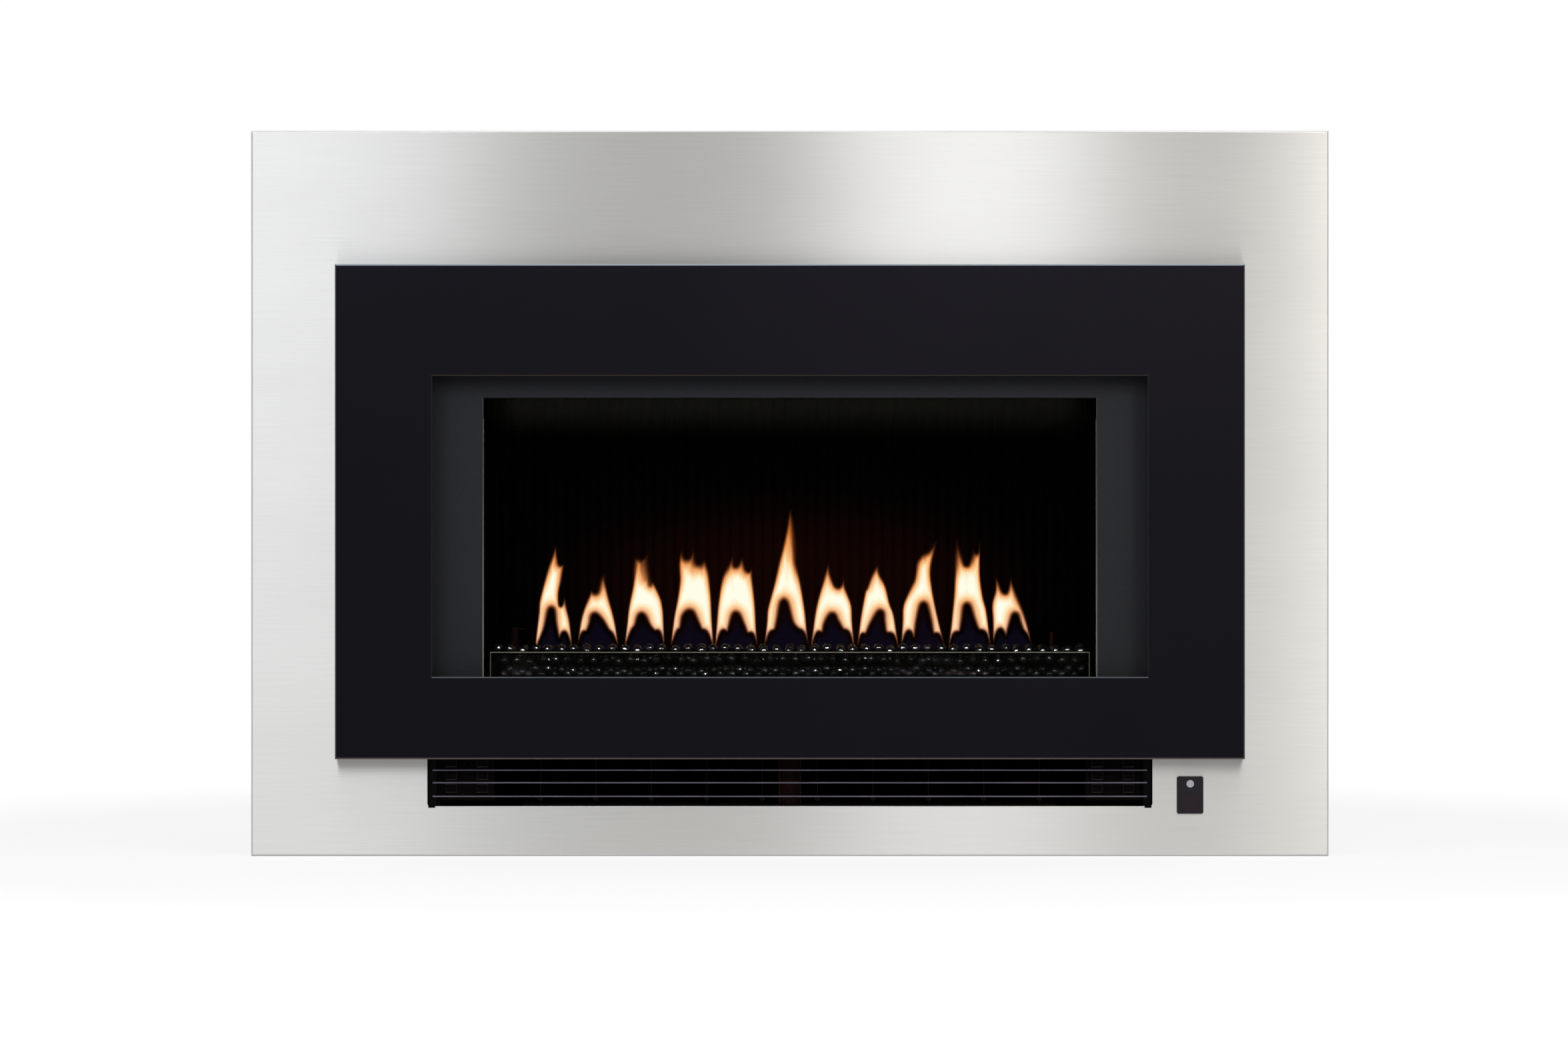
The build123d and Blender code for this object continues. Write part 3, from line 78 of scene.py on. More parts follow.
# The flames as they stand over the burner's slots, in millimetres. A flame has one or more sheets of fire.
# A sheet has a crown, from its left foot over its tips to its right foot, as x, z and how deep the fire
# takes to grow hot there, and a hem, the arches of its lower edge from right to left, as x and z.
# crown_points lets the feet down and makes the fire's edges softer than they stand here.
FLAMES = (
    (
        (
            ((-265, 217, 4), (-262, 247, 5), (-261, 260, 5), (-256, 281, 5.5), (-251, 298, 6),
             (-243, 320, 9), (-240, 305, 8), (-238, 298, 9), (-233, 300, 9), (-236, 281, 6),
             (-239, 267, 5), (-238, 255, 6), (-234, 267, 9), (-230, 250, 6), (-227, 234, 5),
             (-226, 217, 4)),
            ((-234, 226), (-240, 218), (-245, 235), (-248, 250), (-254, 229)),
        ),
    ),
    (
        (
            ((-221, 218, 4), (-219, 235, 5), (-215, 252, 6), (-208, 270, 9), (-205, 274, 12),
             (-202, 270, 12), (-199, 283, 16), (-191, 293, 20), (-190, 280, 10), (-186, 260, 6),
             (-182, 244, 5), (-179, 227, 4.5), (-178, 218, 4)),
            ((-185, 224), (-190, 229), (-196, 238), (-203, 244), (-206, 235), (-210, 227), (-215, 225)),
        ),
    ),
    (
        (
            ((-172, 218, 4), (-170, 238, 4.5), (-168, 256, 5), (-163, 281, 6), (-157, 306, 9),
             (-154, 291, 8), (-151, 281, 8), (-148, 291, 9), (-146, 276, 8), (-142, 281, 9),
             (-134, 266, 6), (-131, 254, 5), (-130, 238, 4.5), (-130, 217, 4)),
            ((-136, 226), (-141, 227), (-147, 233), (-154, 244), (-159, 233), (-163, 228)),
        ),
        (
            ((-165, 275, 28), (-165, 300, 26), (-161, 307, 28), (-153, 306, 28), (-145, 318, 22),
             (-144, 301, 22), (-140, 281, 22), (-135, 268, 22)),
            ((-145, 262), (-157, 262)),
        ),
    ),
    (
        (
            ((-124, 218, 4), (-122, 238, 4.5), (-118, 262, 5), (-116, 281, 6), (-117, 300, 8),
             (-112, 318, 11), (-107, 306, 14), (-99, 316, 13), (-95, 300, 14), (-88, 305, 14),
             (-83, 291, 8), (-81, 268, 5), (-80, 244, 4.5), (-79, 218, 4)),
            ((-87, 226), (-93, 229), (-97, 236), (-103, 247), (-109, 243), (-112, 231), (-116, 227)),
        ),
    ),
    (
        (
            ((-78, 216, 4), (-77, 238, 4.5), (-75, 262, 5), (-72, 283, 8), (-65, 300, 12),
             (-57, 312, 14), (-56, 297, 10), (-49, 307, 12), (-43, 292, 10), (-38, 302, 12),
             (-37, 281, 7), (-35, 256, 5), (-34, 232, 4.5), (-33, 216, 4)),
            ((-39, 224), (-45, 225), (-50, 235), (-56, 245), (-61, 233), (-64, 225), (-70, 227)),
        ),
    ),
    (
        (
            ((-27, 216, 4), (-25, 238, 4.5), (-24, 252, 5), (-18, 275, 5), (-13, 298, 6), (-6, 328, 7),
             (0, 358, 10), (7, 340, 16), (10, 316, 16), (9, 298, 9), (13, 276, 6), (17, 250, 5),
             (19, 226, 4.5), (21, 213, 4)),
            ((14, 225), (7, 230), (1, 237), (-6, 258), (-11, 238), (-14, 229), (-20, 225)),
        ),
    ),
    (
        (
            ((21, 213, 4), (23, 229, 4.5), (26, 252, 5), (32, 276, 6), (40, 302, 10), (44, 286, 8),
             (50, 275, 9), (57, 288, 11), (59, 274, 7), (65, 256, 5), (66, 238, 4.5), (68, 211, 4)),
            ((61, 225), (54, 229), (48, 238), (44, 244), (38, 235), (35, 225), (29, 225)),
        ),
    ),
    (
        (
            ((69, 211, 4), (72, 238, 4.5), (77, 268, 5), (79, 273, 6), (84, 288, 9), (92, 300, 11),
             (95, 288, 8), (101, 275, 6), (105, 257, 5), (110, 242, 5), (114, 212, 4)),
            ((107, 223), (99, 226), (96, 238), (94, 247), (86, 235), (80, 224), (75, 223)),
        ),
    ),
    (
        (
            ((115, 213, 4), (116, 238, 4.5), (117, 256, 5), (124, 274, 8), (128, 283, 7), (130, 300, 9),
             (136, 309, 13), (145, 315, 13), (156, 330, 14), (152, 310, 9), (148, 291, 6), (149, 274, 5),
             (153, 252, 5), (158, 229, 4.5), (163, 212, 4)),
            ((155, 223), (148, 225), (144, 240), (139, 255), (134, 238), (130, 218), (124, 227),
             (119, 218)),
        ),
    ),
    (
        (
            ((164, 213, 4), (167, 238, 4.5), (169, 262, 5), (170, 286, 6), (168, 310, 20),
             (174, 333, 22), (178, 318, 18), (182, 305, 14), (184, 298, 9), (187, 310, 16),
             (191, 319, 20), (194, 311, 12), (196, 322, 8), (197.5, 341, 8), (199, 316, 6),
             (199, 286, 5), (202, 264, 5), (206, 246, 4.5), (210, 212, 4)),
            ((203, 225), (195, 229), (190, 239), (184, 254), (181, 238), (178, 227), (171, 224)),
        ),
    ),
    (
        (
            ((211, 213, 4), (210, 238, 4.5), (209, 256, 5), (212, 271, 7), (212, 288, 12),
             (218, 281, 10), (224, 269, 9), (229, 288, 11), (234, 275, 9), (240, 261, 10), (246, 245, 9),
             (250, 227, 6), (252, 217, 5)),
            ((246, 223), (241, 229), (237, 238), (234, 244), (229, 231), (225, 221), (219, 229),
             (214, 220)),
        ),
    ),
)


# ---- settings that a user would change


class StudioSettings(bpy.types.PropertyGroup):
    """Camera, lamps and floor."""

    camera_gap: FloatProperty(
        name="Camera distance", description="From the surround's face to the camera",
        default=5.0, unit="LENGTH",
    )
    camera_x: FloatProperty(
        name="Camera X", description="Sideways place of the camera", default=-0.006, unit="LENGTH"
    )
    camera_height: FloatProperty(
        name="Camera height", description="Height of the camera over the floor", default=0.341, unit="LENGTH"
    )
    view_width: FloatProperty(
        name="View width", description="Width of the picture in the plane of the surround",
        default=1.6, unit="LENGTH",
    )
    room_level: FloatProperty(
        name="Room light", description="Level of the light that comes from all sides", default=0.45
    )
    behind_camera: FloatProperty(
        name="Behind the camera", description="What gloss mirrors of the room behind the camera",
        default=0.03,
    )
    lamp_level: FloatProperty(
        name="Lamps", description="Brightness of the lamps' faces", default=3.4
    )
    glint_level: FloatProperty(
        name="Glints", description="Brightness of the lamps that only the glass pebbles mirror",
        default=500.0,
    )
    floor_colour: StringProperty(name="Floor", description="sRGB colour of the floor", default="#EFEFEF")
    floor_shadow: FloatProperty(
        name="Floor shadow", description="How much of the light and shade on the floor the camera sees",
        default=0.28,
    )
    floor_mirrored: FloatProperty(
        name="Mirrored floor", description="Level at which gloss sees the floor", default=0.8
    )


class PebbleSettings(bpy.types.PropertyGroup):
    """Bed of glass pebbles."""

    radius: FloatProperty(
        name="Pebble radius", description="Middle radius of a pebble", default=6.4 * MM, unit="LENGTH"
    )
    bed_top: FloatProperty(
        name="Bed height", description="Top of the bed behind the burner", default=205 * MM, unit="LENGTH"
    )
    heap_top: FloatProperty(
        name="Heap height", description="Top of the pebbles heaped behind the fence",
        default=217 * MM, unit="LENGTH",
    )
    seed: IntProperty(name="Seed", description="Arrangement of the pebbles", default=7)


class FlameSettings(bpy.types.PropertyGroup):
    """Row of flames."""

    brightness: FloatProperty(
        name="Brightness", description="Strength of the light that the flames give", default=1.0
    )
    hem_depth: FloatProperty(
        name="Hem depth", description="How deep the fire takes to grow hot over its lower edge's arches",
        default=20 * MM, unit="LENGTH",
    )
    thickness: FloatProperty(
        name="Thickness", description="Half the depth of a flame from front to back",
        default=6 * MM, unit="LENGTH",
    )
    core: StringProperty(name="Core", description="sRGB colour of the hottest part", default="#FFFEE8")
    body: StringProperty(name="Body", description="sRGB colour round the core", default="#FFE2B0")
    edge: StringProperty(name="Edge", description="sRGB colour of the edges", default="#F2A468")
    foot: StringProperty(name="Foot", description="sRGB colour of the edges low down", default="#EDB592")
    crest: StringProperty(name="Crest", description="sRGB colour of the edges high up", default="#E0853E")
    crest_body: StringProperty(
        name="Crest body", description="sRGB colour round the core high up", default="#FFCB80"
    )
    tip: StringProperty(name="Tip", description="sRGB colour where the fire dies out", default="#8A4218")
    root: StringProperty(name="Root", description="sRGB colour of the unburnt gas", default="#0B0815")


# ---- materials: what they share

MIX_A, MIX_B, MIX_COLOUR = 6, 7, 2  # colour sockets of a Mix node


def linear(code):
    """Linear RGBA of an sRGB hex value."""
    srgb = [int(code[i : i + 2], 16) / 255 for i in (1, 3, 5)]
    return [c / 12.92 if c <= 0.04045 else ((c + 0.055) / 1.055) ** 2.4 for c in srgb] + [1.0]


def add(tree, kind, inputs=None, **settings):
    """Adds a node with its settings; each input is a value, or another node's socket to link."""
    node = tree.nodes.new("ShaderNode" + kind)
    for name, value in settings.items():
        setattr(node, name, value)
    for name, value in (inputs or {}).items():
        if isinstance(value, bpy.types.NodeSocket):
            tree.links.new(value, node.inputs[name])
        else:
            node.inputs[name].default_value = value
    return node


def new_tree(name):
    """An empty material and its node tree."""
    material = bpy.data.materials.new(name)
    material.use_nodes = True
    material.node_tree.nodes.clear()
    return material, material.node_tree


def close(tree, inputs):
    """Ends a tree with its Principled shader and the output."""
    shader = add(tree, "BsdfPrincipled", inputs)
    add(tree, "OutputMaterial", {"Surface": shader.outputs[0]})


def grain(tree, size_mm, stretch=(1, 1, 1), detail=2.0):
    """Noise from 0 to 1: size_mm is a grain's width, stretch how many times longer along each axis."""
    place = add(tree, "TexCoord").outputs["Object"]
    scale = [1 / (size_mm * MM * along) for along in stretch]
    spot = add(tree, "Mapping", {"Vector": place, "Scale": scale}).outputs[0]
    noise = add(tree, "TexNoise", {"Vector": spot, "Scale": 1.0, "Detail": detail}).outputs[0]
    return spread(tree, noise, 0, 1, (0.3, 0.7))


def mixed(tree, factor, first, second):
    """Colour that goes from first to second as factor goes from 0 to 1."""
    ends = [linear(c) if isinstance(c, str) else c for c in (first, second)]
    node = add(tree, "Mix", {0: factor, MIX_A: ends[0], MIX_B: ends[1]}, data_type="RGBA")
    return node.outputs[MIX_COLOUR]


def spread(tree, value, low, high, span=(0, 1), **settings):
    """A number that goes from low to high as value goes from one end of span to the other."""
    ends = {"From Min": span[0], "From Max": span[1], "To Min": low, "To Max": high}
    return add(tree, "MapRange", {"Value": value, **ends}, **settings).outputs[0]


def relief(tree, factor, depth_mm, strength=1.0):
    """Normal of a surface whose height follows factor."""
    return add(tree, "Bump", {"Height": factor, "Distance": depth_mm * MM, "Strength": strength}).outputs[0]


def painted_edge_light_and_shade(tree, up, side, down):
    """Share and colour of painted light and shade on a sheet's slanted and rounded front edges, which face
    up, sideways or down.

    They are found by how far their normal points forwards: 1 is a front face, 0 is a side.
    """
    parts = add(tree, "SeparateXYZ", {0: add(tree, "NewGeometry").outputs["True Normal"]}).outputs
    front = add(tree, "Math", {0: parts[1]}, operation="ABSOLUTE").outputs[0]
    leaves_front = spread(tree, front, 0, 1, (0.93, 0.8))
    before_side = spread(tree, front, 0, 1, (0.05, 0.25))
    share = add(tree, "Math", {0: leaves_front, 1: before_side}, operation="MULTIPLY").outputs[0]
    # the colours for up, sideways and down stand in for how the light falls on the edges
    upward = spread(tree, parts[2], 0, 1, (0.2, 0.5))
    downward = spread(tree, parts[2], 0, 1, (-0.2, -0.5))
    return share, mixed(tree, downward, mixed(tree, upward, side, up), down)


def plain_finish(name, colours, roughness, size_mm, depth_mm, inputs=None, stretch=(1, 1, 1)):
    """A finish with one grain that carries its colour, roughness and relief."""
    material, tree = new_tree(name)
    pattern = grain(tree, size_mm, stretch)
    values = {
        "Base Color": mixed(tree, pattern, *colours),
        "Roughness": spread(tree, pattern, *roughness),
        "Normal": relief(tree, pattern, depth_mm),
    }
    close(tree, {**values, **(inputs or {})})
    return material


# ---- materials: metals


def brushed_stainless():
    """Austenitic stainless sheet, belt-brushed along its width: light spreads up and down, not sideways.

    Its cut and folded edges carry a painted highlight, white where they face up, and painted shade, a darker
    grey, where they face down.
    Real brush lines are about 0.05 mm wide and could not be seen here, so they are drawn 1.6 mm wide.
    """
    material, tree = new_tree("brushed_stainless_sheet")
    lines = grain(tree, 1.6, stretch=(45, 1, 1), detail=3.0)
    clouds = grain(tree, 90, stretch=(3, 1, 1))
    base = mixed(tree, lines, "#DFDEDA", "#E4E3DF")
    # painted highlight on the edges: white facing up, pale grey sideways, darker grey facing down as painted
    # shade
    painted_edge_share, tone = painted_edge_light_and_shade(tree, "#FFFFFF", "#E8E8E8", "#C8C8C8")
    base = mixed(tree, spread(tree, clouds, 0.0, 0.35), base, "#D6D4D1")
    tangent = add(tree, "Tangent", direction_type="RADIAL", axis="Z").outputs[0]
    values = {
        "Base Color": mixed(tree, painted_edge_share, base, tone),
        "Metallic": spread(tree, painted_edge_share, 1.0, 0.3),
        "Roughness": spread(tree, lines, 0.385, 0.40),
        "Anisotropic": 1.0,
        "Anisotropic Rotation": 0.25,
        "Tangent": tangent,
        "Normal": relief(tree, lines, 0.01, 0.15),
    }
    close(tree, values)
    return material


def satin_stainless():
    """Stainless wire and sheet as rolled, a little duller than brushed."""
    colours = ("#8E8B8C", "#A9A6A6")
    return plain_finish("satin_stainless", colours, (0.28, 0.40), 3, 0.02, {"Metallic": 1.0})


def outlet_wire():
    """Outlet's drawn stainless wires, lilac-grey and a little dull, in end straps of blackened sheet."""
    material, tree = new_tree("outlet_wire_and_blackened_straps")
    spot = add(tree, "SeparateXYZ", {0: add(tree, "TexCoord").outputs["Object"]}).outputs
    side = add(tree, "Math", {0: spot[0]}, operation="ABSOLUTE").outputs[0]
    past_ends = spread(tree, side, 0, 1, (WIRE_END, WIRE_END + 0.2 * MM))
    from_wires = []
    for level in WIRE_LEVELS:
        rise = add(tree, "Math", {0: spot[2], 1: level}, operation="SUBTRACT").outputs[0]
        from_wires.append(add(tree, "Math", {0: rise}, operation="ABSOLUTE").outputs[0])
    nearest = from_wires[0]
    for other in from_wires[1:]:
        nearest = add(tree, "Math", {0: nearest, 1: other}, operation="MINIMUM").outputs[0]
    off_wires = spread(tree, nearest, 0, 1, (1.0 * MM, 1.2 * MM))
    strap = add(tree, "Math", {0: past_ends, 1: off_wires}, operation="MAXIMUM").outputs[0]
    draw_marks = grain(tree, 1.5, stretch=(30, 1, 1))
    wire = mixed(tree, draw_marks, "#55505C", "#6E6975")
    values = {
        "Base Color": mixed(tree, strap, wire, "#060506"),
        "Metallic": spread(tree, strap, 1.0, 0.0),
        "Roughness": spread(tree, draw_marks, 0.32, 0.42),
        "Specular IOR Level": 0.05,
        "Normal": relief(tree, draw_marks, 0.01),
    }
    close(tree, values)
    return material


def dull_paint_as_duct_shade():
    """Dull near-black paint, barely red: painted shade of the dark inside of the duct and the blower."""
    # near black: painted shade of the dark inside
    colours = ("#0A0606", "#120B0A")
    return plain_finish("dull_paint_as_duct_shade", colours, (0.5, 0.7), 5, 0.03, {"Specular IOR Level": 0.06})


def zinc_plated_steel():
    """Bright zinc-plated steel: cool grey with faint clouds."""
    colours = ("#A7ABB0", "#C2C6CA")
    return plain_finish("zinc_plated_steel", colours, (0.24, 0.38), 4, 0.02, {"Metallic": 1.0})


def galvanised_sheet():
    """Hot-dip galvanised sheet: spangles some 9 mm wide, each with its own grey and gloss.

    The side that faces the middle of the casing is near black and dull: painted shade of the closed casing's
    inside.
    """
    material, tree = new_tree("galvanised_sheet")
    place = add(tree, "TexCoord").outputs["Object"]
    away = add(tree, "VectorMath", {0: place, 1: CASING_MIDDLE}, operation="SUBTRACT").outputs[0]
    normal = add(tree, "NewGeometry").outputs["True Normal"]
    facing = add(tree, "VectorMath", {0: normal, 1: away}, operation="DOT_PRODUCT").outputs["Value"]
    # faces turned to the casing's middle are painted near black as shade; outer faces show the zinc
    faces_outwards = spread(tree, facing, 0, 1, (0, MM))
    cells = add(tree, "TexVoronoi", {"Vector": place, "Scale": 1 / (9 * MM), "Randomness": 1.0})
    tone = add(tree, "SeparateColor", {0: cells.outputs["Color"]}).outputs[0]
    values = {
        "Base Color": mixed(tree, faces_outwards, "#060505", mixed(tree, tone, "#9BA0A4", "#C3C8CB")),
        "Metallic": faces_outwards,
        "Roughness": spread(tree, tone, 0.32, 0.52),
        "Specular IOR Level": 0.05,
        "Normal": relief(tree, tone, 0.01, 0.3),
    }
    close(tree, values)
    return material


def cast_aluminium():
    """Die-cast aluminium: pale, fine-grained and matt."""
    colours = ("#A9ABAD", "#C4C5C6")
    return plain_finish("cast_aluminium", colours, (0.38, 0.55), 1.5, 0.05, {"Metallic": 1.0})


def drawn_copper():
    """Drawn copper tube with the brown bloom of handling."""
    colours = ("#8A5136", "#C07E5A")
    return plain_finish("drawn_copper_tube", colours, (0.22, 0.42), 12, 0.01, {"Metallic": 1.0})


def turned_brass():
    """Brass turned on a lathe: warm yellow with fine dull marks."""
    colours = ("#A88A4C", "#C8A763")
    return plain_finish("turned_brass", colours, (0.22, 0.36), 1.2, 0.02, {"Metallic": 1.0})


# ---- materials: paints and enamels


def satin_black_powder():
    """Satin black powder coat, oven-cured: near black, faintly violet, with a fine orange peel.

    Its edges carry painted highlights, pale blue-grey facing up, grey sideways and brown facing down: the
    outer ones more than those of the window.
    """
    material, tree = new_tree("satin_black_powder_coat")
    peel = grain(tree, 1.8)
    clouds = grain(tree, 160)
    # painted highlights on the edges: pale blue-grey facing up, grey sideways, brown facing down
    share, tone = painted_edge_light_and_shade(tree, "#AEBAC2", "#43443F", "#6A625A")
    spot = add(tree, "SeparateXYZ", {0: add(tree, "TexCoord").outputs["Object"]}).outputs
    side = add(tree, "Math", {0: spot[0]}, operation="ABSOLUTE").outputs[0]
    rise = add(tree, "Math", {0: spot[2], 1: (DOOR[0].z + DOOR[1].z) / 2}, operation="SUBTRACT").outputs[0]
    rise = add(tree, "Math", {0: rise}, operation="ABSOLUTE").outputs[0]
    # the painted edge highlights are full on the door's outer edges and a third as strong round its window
    outer = [
        spread(tree, value, 0, 1, (edge - 12 * MM, edge - 8 * MM))
        for value, edge in ((side, DOOR[1].x), (rise, (DOOR[1].z - DOOR[0].z) / 2))
    ]
    outer = add(tree, "Math", {0: outer[0], 1: outer[1]}, operation="MAXIMUM").outputs[0]
    share = add(tree, "Math", {0: share, 1: spread(tree, outer, 0.33, 1.0)}, operation="MULTIPLY").outputs[0]
    values = {
        "Base Color": mixed(tree, share, mixed(tree, clouds, "#060608", "#09080B"), tone),
        "Roughness": spread(tree, peel, 0.38, 0.44),
        "Specular IOR Level": 0.14,
        "Specular Tint": linear("#E9E1FF"),
        "Normal": relief(tree, peel, 0.02, 0.35),
    }
    close(tree, values)
    return material


def charcoal_paint():
    """Heat-proof charcoal paint, sprayed: dark grey, dry and sandy, with pale painted highlights on its
    front edges, strongest low down.
    """
    material, tree = new_tree("charcoal_heatproof_paint")
    sand = grain(tree, 1.4)
    height = add(tree, "SeparateXYZ", {0: add(tree, "TexCoord").outputs["Object"]}).outputs[2]
    # painted highlights on the edges: grey-beige facing up and sideways, near the paint's own grey facing
    # down
    share, tone = painted_edge_light_and_shade(tree, "#8E8C80", "#A09E90", "#2A2B2D")
    # the painted edge highlights are strongest low down and faint high up
    edge_light_by_height = spread(tree, height, 0.15, 0.85, (0.4, 0.17))
    share = add(tree, "Math", {0: share, 1: edge_light_by_height}, operation="MULTIPLY").outputs[0]
    values = {
        "Base Color": mixed(tree, share, mixed(tree, sand, "#1B1C20", "#24252A"), tone),
        "Roughness": spread(tree, sand, 0.5, 0.62),
        "Specular IOR Level": 0.2,
        "Normal": relief(tree, sand, 0.04),
    }
    close(tree, values)
    return material


def black_enamel():
    """Vitreous black enamel fired on sheet steel: deep black, half gloss."""
    colours = ("#050506", "#0A0A0B")
    return plain_finish("black_vitreous_enamel", colours, (0.45, 0.6), 6, 0.03, {"Specular IOR Level": 0.08})


def enamel_with_painted_glow():
    """Black enamel of the fluted panel, dull, with the flames' light painted red-brown in an oval behind
    them.
    """
    material, tree = new_tree("black_enamel_painted_flame_glow")
    place = add(tree, "TexCoord").outputs["Object"]
    # the oval's middle is 265 mm up, and it is 560 mm wide and 220 mm high
    oval = {"Vector": place, "Location": (0, 0, -2.41), "Scale": (3.6, 0, 9.1)}
    spot = add(tree, "Mapping", oval).outputs[0]
    away = add(tree, "VectorMath", {0: spot}, operation="LENGTH").outputs["Value"]
    # painted glow of the flames' light: full in the oval's middle, gone at its rim
    painted_flame_glow = spread(tree, away, 0, 1, (1.15, 0.35), interpolation_type="SMOOTHSTEP")
    stains = grain(tree, 14, stretch=(1, 1, 3))
    values = {
        "Base Color": mixed(tree, painted_flame_glow, "#010101", "#1A0603"),
        "Roughness": spread(tree, stains, 0.6, 0.75),
        "Specular IOR Level": 0.01,
        "Normal": relief(tree, stains, 0.04),
    }
    close(tree, values)
    return material


def red_brown_lacquer():
    """Anti-rust lacquer on the outlet's bracket: dull red-brown."""
    colours = ("#160907", "#200E0C")
    return plain_finish("red_brown_lacquer", colours, (0.45, 0.6), 2.5, 0.03, {"Specular IOR Level": 0.04})


# ---- materials: glass, ceramic, fibre, plastic


def ceramic_pane():
    """Transparent glass-ceramic: clear, with a painted olive band of light along its top that fades out
    towards its sides.
    """
    material, tree = new_tree("clear_glass_ceramic")
    place = add(tree, "TexCoord").outputs["Object"]
    spot = add(tree, "SeparateXYZ", {0: place})
    side = add(tree, "Math", {0: spot.outputs[0]}, operation="ABSOLUTE").outputs[0]
    top = PANE[1].z - 12 * MM
    up = spread(tree, spot.outputs[2], 0, 1, (top - 42 * MM, top), interpolation_type="SMOOTHSTEP")
    fade = spread(tree, side, 0, 1, (0.312, 0.27), interpolation_type="SMOOTHSTEP")
    light_band_mottle = grain(tree, 60)
    # painted band of light: the olive base colour shows near the top and fades out at the sides, varied at
    # random
    painted_light_band = add(tree, "Math", {0: up, 1: fade}, operation="MULTIPLY").outputs[0]
    painted_light_band = add(tree, "Math", {0: painted_light_band, 1: spread(tree, light_band_mottle, 0.75, 1.0)}, operation="MULTIPLY").outputs[0]
    values = {
        "Base Color": linear("#3C3B33"),
        "Roughness": 0.06,
        "Specular IOR Level": 0.05,
        "Alpha": spread(tree, painted_light_band, 0.004, 0.1),
    }
    close(tree, values)
    return material


def fence_glass():
    """Toughened float glass with polished arrises: clear faces, and pale painted highlights along its top
    and side edges.
    """
    material, tree = new_tree("toughened_float_glass")
    place = add(tree, "TexCoord").outputs["Object"]
    spot = add(tree, "SeparateXYZ", {0: place})
    side = add(tree, "Math", {0: spot.outputs[0]}, operation="ABSOLUTE").outputs[0]
    # painted highlights on the top edge and the side edges, pale and less clear than the faces
    ends = ((spot.outputs[2], FENCE[1].z, 0.85), (side, FENCE[1].x, 0.6))
    edges = [
        spread(tree, value, 0, strength, (end - 0.9 * MM, end - 0.7 * MM)) for value, end, strength in ends
    ]
    edge = add(tree, "Math", {0: edges[0], 1: edges[1]}, operation="MAXIMUM").outputs[0]
    smears = grain(tree, 25)
    clear = spread(tree, smears, 0.05, 0.10)
    alpha = add(tree, "Mix", {0: edge, 2: clear, 3: 0.85}).outputs[0]
    values = {
        "Base Color": mixed(tree, edge, "#151713", "#A8A48C"),
        "Roughness": 0.05,
        "Alpha": alpha,
    }
    close(tree, values)
    return material


def black_glass():
    """Black glass-ceramic sheet of the side panels, polished: near black, with a faint mirror image."""
    return plain_finish("polished_black_glass", ("#030304", "#070708"), (0.06, 0.12), 40, 0.02)


def pebble_glass():
    """Black soda-lime glass, broken and tumbled: deep black, wet-looking, with small bright glints."""
    colours = ("#000000", "#010101")
    return plain_finish("tumbled_black_glass", colours, (0.03, 0.06), 3, 0.12, {"Specular IOR Level": 0.1})


def woven_gasket():
    """Glass-fibre tape, plain weave: threads that cross over and under.

    Real threads are about 1.2 mm apart. They are drawn about 7.5 mm apart, as the tape is hardly seen.
    """
    material, tree = new_tree("woven_glass_fibre_tape")
    place = add(tree, "TexCoord").outputs["Object"]
    bands = {"Vector": place, "Scale": 1 / (24 * MM)}  # the node's bands lie 0.314 of a unit apart
    threads = [add(tree, "TexWave", bands, bands_direction=axis).outputs[0] for axis in ("X", "Z")]
    weave = add(tree, "Math", {0: threads[0], 1: threads[1]}, operation="MULTIPLY").outputs[0]
    values = {
        "Base Color": mixed(tree, weave, "#26262A", "#4A4A4C"),
        "Roughness": 0.9,
        "Normal": relief(tree, weave, 0.3),
    }
    close(tree, values)
    return material


def glazed_ceramic():
    """Alumina ceramic, glazed, and browned by the fire."""
    colours = ("#0C0403", "#1C0A06")
    return plain_finish("glazed_alumina", colours, (0.35, 0.5), 5, 0.02, {"Specular IOR Level": 0.02})


def scorched_steel():
    """Heat-proof steel of the probe, tinted red-brown by the flame."""
    colours = ("#1A0906", "#32170F")
    return plain_finish("scorched_probe_steel", colours, (0.35, 0.5), 4, 0.02, {"Metallic": 1.0})


def moulded_plastic(name, colours, roughness=(0.38, 0.52)):
    """Moulded engineering plastic with a fine spark-eroded grain."""
    return plain_finish(name, colours, roughness, 0.9, 0.03, {"Specular IOR Level": 0.25})


def brown_moulding():
    """Brown-black phenolic of the outlet's end blocks: matt, with painted highlights on its slanted edges,
    palest where they face down, under its bosses.
    """
    material, tree = new_tree("brown_black_phenolic")
    flow = grain(tree, 3)
    # painted highlights on the edges, palest on those that face down
    share, tone = painted_edge_light_and_shade(tree, "#2A2527", "#252022", "#433B40")
    values = {
        "Base Color": mixed(tree, share, mixed(tree, flow, "#080505", "#0C0808"), tone),
        "Roughness": spread(tree, flow, 0.45, 0.6),
        "Specular IOR Level": 0.03,
        "Normal": relief(tree, flow, 0.02),
    }
    close(tree, values)
    return material


def circuit_board():
    """Glass-epoxy board under green solder resist."""
    return plain_finish("green_solder_resist", ("#1B4A2C", "#2A6A3E"), (0.25, 0.4), 2, 0.02)


# ---- pieces: shared


def mesh_object(name, points, faces, fields=None):
    """A new object at the origin: points (n, 3), a list of faces, and fields of n numbers by name."""
    mesh = bpy.data.meshes.new(name)
    mesh.from_pydata(points.tolist(), [], faces)
    for label, values in (fields or {}).items():
        mesh.attributes.new(label, "FLOAT", "POINT").data.foreach_set("value", values.astype(np.float32))
    mesh.polygons.foreach_set("use_smooth", np.ones(len(mesh.polygons), bool))
    mesh.update()
    piece = bpy.data.objects.new(name, mesh)
    bpy.context.scene.collection.objects.link(piece)
    return piece


